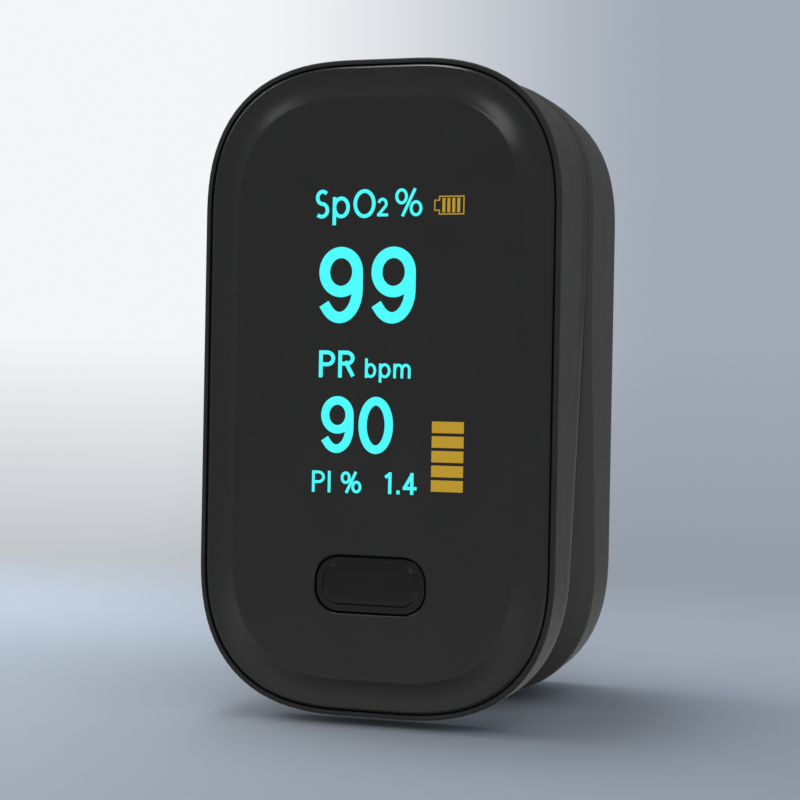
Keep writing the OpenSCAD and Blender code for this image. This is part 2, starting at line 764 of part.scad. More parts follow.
display_lens();
lens_adhesive();
upper_shell();
button_cap();
switch_body();
switch_plunger();
oled_panel();
oled_holder();
oled_flex();
main_board();
board_chips();
piezo_buzzer();
upper_chassis();
upper_pad();
emitter_board();
emitter_leds();
emitter_window();
upper_screws();
lower_shell();
lower_chassis();
lower_pad();
detector_board();
photodiode();
detector_window();
battery_left();
battery_right();
contact_springs();
contact_plates();
battery_door();
lower_screws();
hinge_pins();
torsion_springs();
flex_cable();
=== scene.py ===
import json
import math

import bmesh
import bpy
import numpy as np
from mathutils import Matrix, Vector


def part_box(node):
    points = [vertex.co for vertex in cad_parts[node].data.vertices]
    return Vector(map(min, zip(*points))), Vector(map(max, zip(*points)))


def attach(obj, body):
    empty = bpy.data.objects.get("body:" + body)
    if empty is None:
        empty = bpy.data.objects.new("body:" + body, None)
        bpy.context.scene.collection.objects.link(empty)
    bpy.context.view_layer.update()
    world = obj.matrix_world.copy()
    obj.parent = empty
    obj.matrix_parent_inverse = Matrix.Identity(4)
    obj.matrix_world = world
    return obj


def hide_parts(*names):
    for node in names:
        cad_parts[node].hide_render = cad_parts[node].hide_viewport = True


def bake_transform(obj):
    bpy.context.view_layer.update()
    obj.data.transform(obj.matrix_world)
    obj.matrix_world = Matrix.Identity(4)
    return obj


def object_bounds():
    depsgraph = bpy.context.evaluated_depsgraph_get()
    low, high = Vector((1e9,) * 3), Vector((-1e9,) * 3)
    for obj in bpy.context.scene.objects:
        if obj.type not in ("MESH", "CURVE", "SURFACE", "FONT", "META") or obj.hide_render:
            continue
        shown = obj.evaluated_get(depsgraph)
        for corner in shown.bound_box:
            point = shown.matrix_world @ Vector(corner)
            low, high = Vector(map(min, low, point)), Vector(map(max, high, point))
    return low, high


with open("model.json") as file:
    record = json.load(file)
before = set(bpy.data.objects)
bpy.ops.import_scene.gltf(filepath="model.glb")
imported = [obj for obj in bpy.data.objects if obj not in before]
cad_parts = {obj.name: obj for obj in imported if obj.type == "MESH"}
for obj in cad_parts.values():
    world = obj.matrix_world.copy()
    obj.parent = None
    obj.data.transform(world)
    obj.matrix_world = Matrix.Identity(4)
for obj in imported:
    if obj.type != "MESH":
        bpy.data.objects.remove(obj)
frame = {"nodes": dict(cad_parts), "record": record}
cad_low, cad_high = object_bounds()

# Lengths are in millimetres until place() turns them into the frame's metres.
# Depth d runs back from the front of the lens, x to the viewer's right and z up from the base.
MM = 0.001
CASE_H = (cad_high.z - cad_low.z) / MM
CASE_DEPTH = (cad_high.y - cad_low.y) / MM
CASE_HW = (cad_high.x - cad_low.x) / MM / 2
MID_Z = CASE_H / 2


def node_mm(node):
    """Lowest and highest corner of a CAD node as (x, d, z)."""
    return [((p.x / MM), (p.y - cad_low.y) / MM, p.z / MM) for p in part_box(node)]


# ---- Driving dimensions ----

SQUARENESS = 2.53          # exponent of the outline's corners
CORNER_R = 14.7
LOWER_R = 14.7
EDGE_CORNER_R = CORNER_R - 1.4
LENS_LOW, LENS_HIGH = node_mm("display_lens")
LENS_HW = LENS_HIGH[0]
LENS_HH = (LENS_HIGH[2] - LENS_LOW[2]) / 2
LENS_T = LENS_HIGH[1]
SLOPE_W = 3.1              # width of the scooped slope round the lens
SLOPE_DROP = 0.65
LENS_EDGE = 0.28           # chamfer round the lens
UPPER_LOW, UPPER_HIGH = node_mm("upper_shell")
UPPER_HW = UPPER_HIGH[0]
UPPER_HH = (UPPER_HIGH[2] - UPPER_LOW[2]) / 2
LENS_R = CORNER_R - (UPPER_HW - LENS_HW)
LENS_GAP = 0.16
RIM_D = UPPER_LOW[1]
RIM_W = UPPER_HW - LENS_HW - LENS_GAP
RIM_CHAMFER = 0.4
POCKET_D = 1.7
FACE_BACK = 2.9
WALL = 1.4

APEX_Z = 40.0              # the squeeze gap opens below this height
PART_D = 13.9
UPPER_SLOPE = math.radians(12.1)
LOWER_RIM_D = 14.05
RIM_FALL = 4.0
CREASE_D = 14.35
CREASE_FALL = 5.9
FALL_CURVE = 1.35
BEVEL_TOP = 0.5
BEVEL_BASE = 2.5
SIDE_DRAFT = 0.004
WIDEST_D = 27.0
END_DRAFT = 0.05
END_DRAFT_D = 21.0
BACK_ROUND = 4.0
LOWER_WALL = 2.2
FLOOR_D = 28.0

BUTTON_Z = 13.3
BUTTON_HW = 5.25
BUTTON_HH = 2.58
BUTTON_R = 2.3
BUTTON_GAP = 0.12

CHANNEL_R = 10.57
TROUGH_R = 11.77
UPPER_AXIS_D = 19.97
LOWER_AXIS_D = 6.63
SENSOR_Z = 35.0

HINGE_D = 13.1
HINGE_Z = 30.0
CELL_R = 5.25
CELL_X = 5.4
CELL_D = 25.95

DOOR_HW = 11.95
DOOR_LOW_Z = 7.15
DOOR_D = 31.45
DOOR_GAP = 0.15
TONGUE_X = 11.2            # inner side of the door's tongues
TONGUE_W = 1.7
GROOVES = 6
GROOVE_PITCH = 1.6
BAY_D = 30.45
BAY_HW = 12.15
BAY_LOW_Z = 6.3
BAY_HIGH_Z = 57.6
RAIL_HW = 13.05
SEAT_LOW_Z = 7.0

SIDES = (-1, 1)
UPPER_SCREWS = ((12.2, 8.5), (12.6, 54.5))
LOWER_SCREWS = ((13.4, 9.0), (13.4, 54.0))
UPPER_POST_R = 1.6
LOWER_POST_R = 1.3
SCREW_BORE_R = 0.72
CORD_HOLE_R = 0.9
CORD_HOLE_D = CASE_DEPTH - 2.1
BEYOND_Z = 75.0            # above the case, for cutters that run out of it


# ---- Mesh helpers ----

def place(points):
    """Turns (x, d, z) in millimetres into the frame's metres."""
    p = np.asarray(points, float) * MM
    p[:, 1] += cad_low.y
    return p


def in_scene(name, data):
    """A new object with this data, in the scene."""
    thing = bpy.data.objects.new(name, data)
    bpy.context.scene.collection.objects.link(thing)
    return thing


def mesh_object(name, points, faces, smooth_angle=35):
    mesh = bpy.data.meshes.new(name)
    mesh.from_pydata([tuple(p) for p in place(points)], [], [tuple(f) for f in faces])
    bm = bmesh.new()
    bm.from_mesh(mesh)
    bmesh.ops.recalc_face_normals(bm, faces=bm.faces)
    bm.to_mesh(mesh)
    bm.free()
    piece = in_scene(name, mesh)
    shade(piece, smooth_angle)
    return piece


def shade(piece, angle=35):
    piece.data.polygons.foreach_set("use_smooth", [True] * len(piece.data.polygons))
    piece.data.set_sharp_from_angle(angle=math.radians(angle))


def even_normals(piece):
    weighted = piece.modifiers.new("even_normals", "WEIGHTED_NORMAL")
    weighted.keep_sharp = True
    weighted.weight = 100


def corner_point(turn, exponent):
    """A point of a unit superellipse's first quarter, by its direction."""
    c, s = math.cos(turn), math.sin(turn)
    reach = (abs(c) ** exponent + abs(s) ** exponent) ** (-1 / exponent)
    return reach * c, reach * s


def form(side_steps, end_steps, corner_steps, exponent=SQUARENESS):
    """Rounded rectangle as rows of side x, side z, corner x, corner z, anticlockwise."""
    quarter = [corner_point(math.pi / 2 * i / corner_steps, exponent) for i in range(corner_steps + 1)]
    corner = [(1, 1, c, s) for c, s in quarter]
    rows = []
    for quadrant in range(4):
        steps = end_steps if quadrant % 2 else side_steps
        side = [(1, -1 + 2 * i / steps, 1, 0) for i in range(1, steps)]
        for x, z, cx, cz in side + corner:
            for _ in range(quadrant):
                x, z, cx, cz = -z, x, -cz, cx
            rows.append((x, z, cx, cz))
    return np.array(rows, float)


CASE_FORM = form(36, 6, 22)
BUTTON_FORM = form(2, 8, 14, 2.15)


def ring(shape, hw, hh, r, depth, middle_z=MID_Z):
    """One outline as (x, d, z) points; the sizes and the depth may differ from point to point."""
    x = shape[:, 0] * (hw - r) + shape[:, 2] * r
    z = middle_z + shape[:, 1] * (hh - r) + shape[:, 3] * r
    return np.column_stack([x, np.zeros_like(x) + depth, z])


def soften(corners, steps=4):
    """Rounds a profile. Each corner is (inset, depth, radius); the first two may be arrays."""
    points = [tuple(np.asarray(v, float) for v in corners[0][:2])]
    for before, here, after in zip(corners, corners[1:], corners[2:]):
        radius = here[2]
        here_at = [np.asarray(v, float) for v in here[:2]]
        if not radius:
            points.append(tuple(here_at))
            continue
        ends = []
        for other in (before, after):
            step = [np.asarray(o, float) - h for o, h in zip(other[:2], here_at)]
            length = np.maximum(np.hypot(*step), 1e-9)
            share = np.minimum(radius / length, 0.48)
            ends.append([h + s * share for h, s in zip(here_at, step)])
        for i in range(steps + 1):
            t = i / steps
            points.append(tuple(
                (1 - t) ** 2 * a + 2 * t * (1 - t) * h + t ** 2 * b
                for a, h, b in zip(ends[0], here_at, ends[1])))
    points.append(tuple(np.asarray(v, float) for v in corners[-1][:2]))
    return points


def loft(rings, closed=False, caps=True):
    """Points and faces through rings of equal length, capped at both ends unless closed."""
    count = len(rings[0])
    faces = []
    spans = len(rings) if closed else len(rings) - 1
    for k in range(spans):
        for i in range(count):
            j = (i + 1) % count
            near, far = k * count, (k + 1) % len(rings) * count
            faces.append((near + i, near + j, far + j, far + i))
    if caps and not closed:
        faces.append(tuple(range(count)))
        faces.append(tuple((len(rings) - 1) * count + i for i in range(count)))
    return np.vstack(rings), faces


def merged(parts):
    """Joins several (points, faces) into one."""
    points, faces, start = [], [], 0
    for p, f in parts:
        points.append(p)
        faces += [tuple(i + start for i in face) for face in f]
        start += len(p)
    return np.vstack(points), faces


def box_part(x0, x1, d0, d1, z0, z1):
    points = np.array([(x, d, z) for x in (x0, x1) for d in (d0, d1) for z in (z0, z1)], float)
    faces = [(0, 1, 3, 2), (4, 6, 7, 5), (0, 4, 5, 1), (2, 3, 7, 6), (0, 2, 6, 4), (1, 5, 7, 3)]
    return points, faces


def rod_part(start, end, r, facets=48):
    """A straight round rod between two (x, d, z) points."""
    start, end = np.array(start, float), np.array(end, float)
    return tube_part([start, end], r, facets)


def tube_part(path, r, facets=14):
    """A round wire along a path, carried without twist."""
    path = np.asarray(path, float)
    tangents = np.gradient(path, axis=0)
    tangents /= np.linalg.norm(tangents, axis=1)[:, None]
    aside = np.cross(tangents[0], (0.31, 0.52, 0.79))
    rings = []
    for point, tangent in zip(path, tangents):
        aside = aside - tangent * (aside @ tangent)
        aside /= np.linalg.norm(aside)
        other = np.cross(tangent, aside)
        turns = np.linspace(0, 2 * math.pi, facets, endpoint=False)
        rings.append(point + r * (np.outer(np.cos(turns), aside) + np.outer(np.sin(turns), other)))
    return loft(rings)


def lathe_part(profile, x, d, facets=64):
    """A turned solid on an upright axis; profile is (radius, z) from one end to the other."""
    turns = np.linspace(0, 2 * math.pi, facets, endpoint=False)
    rings = [np.column_stack([x + r * np.cos(turns), d + r * np.sin(turns), np.full(facets, z)])
             for r, z in profile]
    return loft(rings)


def cut(piece, parts, operation="DIFFERENCE"):
    """Boolean of a piece with each (points, faces) part, applied."""
    for points, faces in parts:
        tool = mesh_object("tool", points, faces)
        modifier = piece.modifiers.new("cut", "BOOLEAN")
        modifier.operation = operation
        modifier.solver = "EXACT"
        modifier.object = tool
        apply_modifiers(piece)
        bpy.data.objects.remove(tool)
    tidy(piece)
    return piece


def apply_modifiers(piece):
    graph = bpy.context.evaluated_depsgraph_get()
    mesh = bpy.data.meshes.new_from_object(piece.evaluated_get(graph))
    piece.modifiers.clear()
    piece.data = mesh


def tidy(piece, angle=35):
    """Merges stray points of a cut mesh and marks its sharp edges again."""
    bm = bmesh.new()
    bm.from_mesh(piece.data)
    bmesh.ops.remove_doubles(bm, verts=bm.verts, dist=0.002 * MM)
    bmesh.ops.dissolve_degenerate(bm, edges=bm.edges, dist=0.001 * MM)
    bmesh.ops.recalc_face_normals(bm, faces=bm.faces)
    bm.to_mesh(piece.data)
    bm.free()
    shade(piece, angle)


# ---- Parting line ----

def upper_edge(z):
    return PART_D - math.tan(UPPER_SLOPE) * np.maximum(0, APEX_Z - z)


def fall(z):
    share = np.clip((APEX_Z - z) / APEX_Z, 0, 1)
    return np.sin(math.pi / 2 * share) ** FALL_CURVE


def lower_rim(z):
    return LOWER_RIM_D + RIM_FALL * fall(z)


def crease(z):
    return CREASE_D + CREASE_FALL * fall(z)


def bevel_width(z):
    return BEVEL_TOP + (BEVEL_BASE - BEVEL_TOP) * fall(z)


# ---- Material helpers ----

MIX_A, MIX_B, MIX_OUT = 6, 7, 2     # the mix node's colour sockets, which share their names with others

class Tree:
    """Short forms for building the node tree of a material or a world."""

    def __init__(self, owner):
        owner.use_nodes = True
        self.tree = owner.node_tree
        self.tree.nodes.clear()
        self.where = self.add("ShaderNodeTexCoord")

    def add(self, kind, **values):
        node = self.tree.nodes.new(kind)
        for key, value in values.items():
            if key in node.inputs:
                node.inputs[key].default_value = value
            else:
                setattr(node, key, value)
        return node

    def link(self, a, a_out, b, b_in):
        self.tree.links.new(a.outputs[a_out], b.inputs[b_in])

    def noise(self, size_mm, detail=3.0, stretch=(1, 1, 1)):
        """Noise whose features are about size_mm across."""
        mapping = self.add("ShaderNodeMapping", Scale=[s / (size_mm * MM) for s in stretch])
        self.link(self.where, "Object", mapping, "Vector")
        noise = self.add("ShaderNodeTexNoise", Scale=1.0, Detail=detail, Roughness=0.55)
        self.link(mapping, "Vector", noise, "Vector")
        return noise

    def span(self, source, output, low, high, to_low=0.0, to_high=1.0, curve="LINEAR"):
        """Maps low to high of a signal onto to_low to to_high, clamped."""
        node = self.add("ShaderNodeMapRange", interpolation_type=curve)
        ends = {"From Min": low, "From Max": high, "To Min": to_low, "To Max": to_high}
        for socket, value in ends.items():
            node.inputs[socket].default_value = value
        self.link(source, output, node, "Value")
        return node

    def spread(self, source, output, low, high):
        """Maps the middle of a 0 to 1 signal onto low to high."""
        return self.span(source, output, 0.3, 0.7, low, high)

    def part(self, output, axis, low, high, *onto, curve="SMOOTHSTEP"):
        """Maps one axis of the place or the normal, by default onto 0 to 1."""
        split = self.add("ShaderNodeSeparateXYZ")
        self.link(self.where, output, split, "Vector")
        return self.span(split, axis, low, high, *onto, curve=curve)

    def mix(self, factor, output, a, b):
        """Blend of two colours; each is a plain colour or a node that mixes one."""
        mix = self.add("ShaderNodeMix", data_type="RGBA")
        self.link(factor, output, mix, "Factor")
        for socket, colour in ((MIX_A, a), (MIX_B, b)):
            if isinstance(colour, bpy.types.Node):
                self.link(colour, MIX_OUT, mix, socket)
            else:
                mix.inputs[socket].default_value = (*colour, 1)
        return mix

    def join(self, factor, output, a, b):
        """Blend of two shaders, each a node with its output's name."""
        both = self.add("ShaderNodeMixShader")
        self.link(factor, output, both, 0)
        self.link(*a, both, 1)
        self.link(*b, both, 2)
        return both


class Finish(Tree):
    """A material round one principled shader."""

    def __init__(self, name):
        self.material = bpy.data.materials.new(name)
        super().__init__(self.material)
        self.shader = self.add("ShaderNodeBsdfPrincipled")
        self.link(self.shader, "BSDF", self.add("ShaderNodeOutputMaterial"), "Surface")

    def put(self, a, a_out, socket):
        """Links an output to one of the shader's inputs."""
        self.link(a, a_out, self.shader, socket)

    def fix(self, **values):
        """Sets shader inputs; an underscore stands for a space in their names."""
        for key, value in values.items():
            self.shader.inputs[key.replace("_", " ")].default_value = value

    def tone(self, factor, output, a, b):
        """The shader's colour, between two colours."""
        self.put(self.mix(factor, output, a, b), MIX_OUT, "Base Color")

    def gloss(self, source, low, high):
        """The shader's roughness, uneven between two values."""
        self.put(self.spread(source, "Fac", low, high), "Result", "Roughness")

    def bump(self, source, output, strength, distance_mm, under=None):
        """Fine relief on the shader's normal, over a bevelled normal if there is one."""
        bump = self.add("ShaderNodeBump", Strength=strength, Distance=distance_mm * MM)
        self.link(source, output, bump, "Height")
        if under:
            self.link(under, "Normal", bump, "Normal")
        self.put(bump, "Normal", "Normal")


def lighter(colour, factor):
    return tuple(min(1.0, c * factor) for c in colour)


def edge_signal(nodes, radius_mm):
    """1 where the surface turns sharply, 0 on flat stretches, with the bevelled normal's node."""
    bevel = nodes.add("ShaderNodeBevel", samples=4)
    bevel.inputs["Radius"].default_value = radius_mm * MM
    geometry = nodes.add("ShaderNodeNewGeometry")
    dot = nodes.add("ShaderNodeVectorMath", operation="DOT_PRODUCT")
    nodes.link(bevel, "Normal", dot, 0)
    nodes.link(geometry, "Normal", dot, 1)
    return bevel, nodes.span(dot, "Value", 0.80, 0.995, 1.0, 0.0)


def front_mask(nodes):
    """1 where a surface faces the front, as the bevel round the lower half does; there the colour is
    painted lighter, standing in for light.
    """
    return nodes.part("Normal", "Y", -0.30, -0.55)


def strip_mask(nodes):
    """1 on a narrow strip along the upper half's parting edge, where a highlight is painted into the
    colour.
    """
    strip_mm, fade_mm = 0.60, 0.35
    slant = math.tan(UPPER_SLOPE)
    split = nodes.add("ShaderNodeSeparateXYZ")
    nodes.link(nodes.where, "Object", split, "Vector")
    drop = nodes.add("ShaderNodeMath", operation="MULTIPLY_ADD")
    drop.inputs[1].default_value = -slant
    drop.inputs[2].default_value = slant * APEX_Z * MM
    nodes.link(split, "Z", drop, 0)
    below = nodes.add("ShaderNodeMath", operation="MAXIMUM")
    below.inputs[1].default_value = 0.0
    nodes.link(drop, "Value", below, 0)
    depth = nodes.add("ShaderNodeMath", operation="ADD")
    nodes.link(split, "Y", depth, 0)
    nodes.link(below, "Value", depth, 1)
    strip_y = cad_low.y + (PART_D - strip_mm) * MM
    return nodes.span(depth, "Value", strip_y - fade_mm * MM, strip_y, curve="SMOOTHSTEP")


def worn_tone(nodes, edge, colour, vary, edge_wear_and_highlight_lift):
    """Blotchy tone with its edges paler, more in some places than in others: rubbed by wear, and on the
    lens also a painted highlight along its edge.
    """
    blotch = nodes.spread(nodes.noise(6.0), "Fac", 0, 1)
    tone = nodes.mix(blotch, "Result", lighter(colour, 1 - vary), lighter(colour, 1 + vary))
    edge_wear_and_highlight = nodes.add("ShaderNodeMath", operation="MULTIPLY")
    nodes.link(edge, "Result", edge_wear_and_highlight, 0)
    nodes.link(nodes.spread(nodes.noise(1.2, 5.0), "Fac", 0.15, 0.75), "Result", edge_wear_and_highlight, 1)
    return nodes.mix(edge_wear_and_highlight, "Value", tone, lighter(colour, edge_wear_and_highlight_lift))


def moulded(name, colour, roughness, grain_mm=0.25, grain=0.05, edge_mm=0.08, edge_wear_and_highlight_lift=1.5,
            specular=0.5, vary=0.10, painted_light_mask=None, painted_light_lift=1.0):
    """Moulded plastic: blotchy tone with edges paler from wear (on the lens also a painted highlight),
    painted light where the painted light mask says so, uneven gloss and fine grain.
    """
    nodes = Finish(name)
    bevel, edge = edge_signal(nodes, edge_mm)
    base = worn_tone(nodes, edge, colour, vary, edge_wear_and_highlight_lift)
    # Painted light: where the mask is 1 the colour is lighter and a little warmer.
    if painted_light_mask:
        painted_light_tone = [c * tint for c, tint in zip(lighter(colour, painted_light_lift), (1.03, 1.0, 0.96))]
        base = nodes.mix(painted_light_mask(nodes), "Result", base, painted_light_tone)
    nodes.put(base, MIX_OUT, "Base Color")
    handled = nodes.noise(3.0, 4.0)
    nodes.gloss(handled, roughness - 0.03, roughness + 0.03)
    nodes.bump(nodes.noise(grain_mm, 2.0), "Fac", grain, grain_mm * 0.2, bevel)
    nodes.fix(Specular_IOR_Level=specular)
    return nodes.material


# ---- Materials, one for each slot of the record ----

MOULDED = {
    # On the lens the paler edges are partly a painted highlight along its edge.
    "smoked_lens": dict(colour=(0.0172, 0.0170, 0.0168), roughness=0.24, grain_mm=0.5, grain=0.012,
                        edge_wear_and_highlight_lift=2.2, vary=0.05),
    # The upper case is painted paler on a strip along its parting edge: a painted highlight.
    "upper_case": dict(colour=(0.028, 0.0277, 0.0272), roughness=0.48, grain_mm=0.14, grain=0.10,
                       edge_mm=0.07, edge_wear_and_highlight_lift=1.8, specular=0.27, painted_light_mask=strip_mask, painted_light_lift=3.6),
    # The lower case's front-facing bevel is painted lighter and warmer: painted light.
    "lower_case": dict(colour=(0.032, 0.0316, 0.0310), roughness=0.48, grain_mm=0.14, grain=0.10,
                       edge_mm=0.09, edge_wear_and_highlight_lift=1.8, specular=0.27, painted_light_mask=front_mask, painted_light_lift=2.25),
    "button": dict(colour=(0.0062, 0.0061, 0.0060), roughness=0.22, grain_mm=0.3, grain=0.02,
                   edge_mm=0.05, edge_wear_and_highlight_lift=2.2, specular=0.4),
    "black_foam": dict(colour=(0.006, 0.006, 0.006), roughness=0.9, grain_mm=0.12, grain=0.5,
                       edge_mm=0.03),
    "black_moulding": dict(colour=(0.018, 0.018, 0.018), roughness=0.55, grain_mm=0.12, grain=0.2,
                           edge_mm=0.05),
    "white_moulding": dict(colour=(0.66, 0.65, 0.61), roughness=0.4, grain_mm=0.2, edge_mm=0.05,
                           edge_wear_and_highlight_lift=1.1, vary=0.04),
    "inner_frame": dict(colour=(0.026, 0.026, 0.027), roughness=0.55, grain_mm=0.18, grain=0.18),
}


def display_glass():
    nodes = Finish("display_glass")
    dust = nodes.noise(2.0, 6.0)
    nodes.tone(dust, "Fac", (0.008, 0.011, 0.015), (0.013, 0.017, 0.022))
    nodes.gloss(dust, 0.05, 0.12)
    return nodes.material


def silicone():
    """Soft dusty rubber with fine pores."""
    nodes = Finish("silicone")
    dust = nodes.noise(1.5, 6.0)
    nodes.tone(nodes.spread(dust, "Fac", 0, 1), "Result", (0.060, 0.060, 0.063), (0.085, 0.085, 0.088))
    nodes.gloss(dust, 0.55, 0.75)
    nodes.fix(Sheen_Weight=0.25, Sheen_Roughness=0.4, Subsurface_Weight=0.08,
              Subsurface_Scale=0.6 * MM)
    nodes.bump(nodes.noise(0.12, 3.0), "Fac", 0.25, 0.02)
    return nodes.material


def circuit_board():
    """Solder mask with copper traces showing through as paler lines."""
    nodes = Finish("circuit_board")
    cells = nodes.add("ShaderNodeTexVoronoi", distance="MANHATTAN", feature="DISTANCE_TO_EDGE")
    cells.inputs["Scale"].default_value = 1 / (1.3 * MM)
    nodes.link(nodes.where, "Object", cells, "Vector")
    trace = nodes.span(cells, "Distance", 0.04, 0.07, 1.0, 0.0)
    nodes.tone(trace, "Result", (0.010, 0.075, 0.030), (0.035, 0.17, 0.065))
    nodes.fix(Roughness=0.32)
    nodes.bump(trace, "Result", 0.5, 0.03)
    return nodes.material


def polyimide():
    """Amber film with fine copper lines along it."""
    nodes = Finish("polyimide")
    lines = nodes.add("ShaderNodeTexWave", wave_type="BANDS", bands_direction="X")
    lines.inputs["Scale"].default_value = 1 / (3.1 * MM)
    nodes.link(nodes.where, "Object", lines, "Vector")
    nodes.tone(nodes.spread(lines, "Fac", 0, 1), "Result", (0.42, 0.16, 0.02), (0.60, 0.30, 0.08))
    nodes.gloss(nodes.noise(1.0), 0.22, 0.34)
    nodes.fix(Coat_Weight=0.5)
    return nodes.material


def sensor_window():
    nodes = Finish("sensor_window")
    cloud = nodes.noise(2.0)
    nodes.tone(cloud, "Fac", (0.10, 0.006, 0.008), (0.17, 0.012, 0.016))
    nodes.gloss(cloud, 0.08, 0.14)
    nodes.fix(Transmission_Weight=0.35)
    return nodes.material


def cell_jacket():
    """Shrink film with faint ripples along the cell."""
    nodes = Finish("cell_jacket")
    film = nodes.noise(2.5, 4.0, stretch=(1, 1, 0.25))
    nodes.tone(film, "Fac", (0.030, 0.036, 0.050), (0.050, 0.058, 0.075))
    nodes.gloss(film, 0.18, 0.30)
    nodes.fix(Coat_Weight=0.6)
    nodes.bump(nodes.noise(0.8, 2.0, stretch=(1, 1, 0.3)), "Fac", 0.2, 0.03)
    return nodes.material


def metal(name, colour, roughness, stretch):
    """Drawn or plated metal: streaks in tone and gloss along the drawing direction."""
    nodes = Finish(name)
    streaks = nodes.noise(0.35, 4.0, stretch=stretch)
    nodes.tone(streaks, "Fac", lighter(colour, 0.82), lighter(colour, 1.08))
    nodes.gloss(streaks, roughness - 0.06, roughness + 0.08)
    nodes.fix(Metallic=1.0)
    nodes.bump(streaks, "Fac", 0.15, 0.01)
    return nodes.material


def contact_metal():
    return metal("contact_metal", (0.66, 0.64, 0.60), 0.22, (1, 1, 1))


def screw_steel():
    return metal("screw_steel", (0.46, 0.46, 0.47), 0.32, (0.3, 1, 1))


def lit(name, colour):
    """Lit display segments, a little uneven as driven pixels are."""
    nodes = Finish(name)
    rows = nodes.noise(0.5, 2.0)
    nodes.put(nodes.mix(rows, "Fac", lighter(colour, 0.94), lighter(colour, 1.03)),
              MIX_OUT, "Emission Color")
    nodes.fix(Emission_Strength=1.0, Base_Color=(0.01, 0.01, 0.01, 1), Specular_IOR_Level=0.0)
    return nodes.material


FINISHES = (display_glass, silicone, circuit_board, polyimide, sensor_window, cell_jacket,
            contact_metal, screw_steel)
materials = {slot: moulded(slot, **look) for slot, look in MOULDED.items()}
materials.update({make.__name__: make() for make in FINISHES})
cyan_light = lit("cyan_light", (0.075, 1.0, 1.0))
gold_light = lit("gold_light", (0.49, 0.30, 0.026))


def dress_frame():
    """Gives every CAD node the material of its slot."""
    for part in frame["record"]["subparts"]:
        mesh = frame["nodes"][part["node"]].data
        mesh.materials.clear()
        mesh.materials.append(materials[part["material_slot"]])


def finish_piece(piece, slot, body, *nodes):
    """Gives a new piece its material and body, and hides the CAD nodes that it stands for."""
    piece.data.materials.clear()
    piece.data.materials.append(materials[slot])
    if body:
        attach(piece, body)
    if nodes:
        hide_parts(*nodes)
    return piece


# ---- Upper half ----

def inset_ring(shape, hw, hh, r, inset, depth, middle_z=MID_Z):
    return ring(shape, hw - inset, hh - inset, r - inset, depth, middle_z)


def button_opening():
    """Cutter for the button's hole, with a small chamfer at the front."""
    rings = []
    for spread, depth in ((0.26, -0.12), (0.0, 0.13), (0.0, LENS_T + 1)):
        grow = BUTTON_GAP + spread
        rings.append(ring(BUTTON_FORM, BUTTON_HW + grow, BUTTON_HH + grow, BUTTON_R + grow,
                          depth, BUTTON_Z))
    return loft(rings)


def front_lens():
    slope = []
    steps = 12
    for i in range(steps + 1):
        share = i / steps
        slope.append((LENS_EDGE + (SLOPE_W - LENS_EDGE) * share, SLOPE_DROP * (1 - share ** 2.1), 0))
    corners = [(0.15, LENS_T, 0), (0.0, LENS_T - 0.15, 0.1),
               (0.0, SLOPE_DROP + LENS_EDGE, 0.05), (LENS_EDGE, SLOPE_DROP, 0.05)]
    profile = soften(corners + slope[1:], 5)
    plateau = [(SLOPE_W + 0.10, 0.0)]
    rings = [inset_ring(CASE_FORM, LENS_HW, LENS_HH, LENS_R, inset, depth)
             for inset, depth in profile + plateau]
    piece = mesh_object("front_lens", *loft(rings))
    cut(piece, [button_opening()])
    even_normals(piece)
    finish_piece(piece, "smoked_lens", "upper_half", "display_lens")


def upper_profile():
    """The upper half's section, from the lens's pocket round the outside and into the wall."""
    edge = upper_edge(ring(CASE_FORM, UPPER_HW, UPPER_HH, CORNER_R, 0)[:, 2])
    side = RIM_D + RIM_CHAMFER
    corners = [(RIM_W, POCKET_D, 0), (RIM_W, RIM_D, 0.04), (0.0, RIM_D, RIM_CHAMFER)]
    for share in np.linspace(0.04, 0.96, 14):
        corners.append((0.0, side + (edge - side) * share, 0))
    corners += [(0.0, edge, 0.14), (WALL, edge, 0.10)]
    for share in (0.96, 0.5, 0.1):
        corners.append((WALL, FACE_BACK + (edge - FACE_BACK) * share, 0))
    corners += [(WALL, FACE_BACK, 0.35), (WALL + 1.0, FACE_BACK, 0)]
    return soften(corners)


def upper_solid():
    """The upper half's shell; its corners get tighter towards the parting edge."""
    side = RIM_D + RIM_CHAMFER
    rings = []
    for inset, depth in upper_profile():
        share = np.clip((depth - side) / (PART_D + 1 - side), 0, 1)
        outer_r = CORNER_R + (EDGE_CORNER_R - CORNER_R) * share
        radius = np.where(inset > RIM_W + 0.1, CORNER_R, outer_r)
        rings.append(inset_ring(CASE_FORM, UPPER_HW, UPPER_HH, radius, inset, depth))
    return loft(rings)


def screw_rods(places, start_d, end_d, r, facets=48):
    """Rods along the screws, at both sides of the case."""
    return [rod_part((side * x, start_d, z), (side * x, end_d, z), r, facets)
            for side in SIDES for x, z in places]


def finger_mouth(axis_d):
    """Cutter for the finger's opening at the top."""
    return rod_part((0, axis_d, 50), (0, axis_d, 70), TROUGH_R, 128)


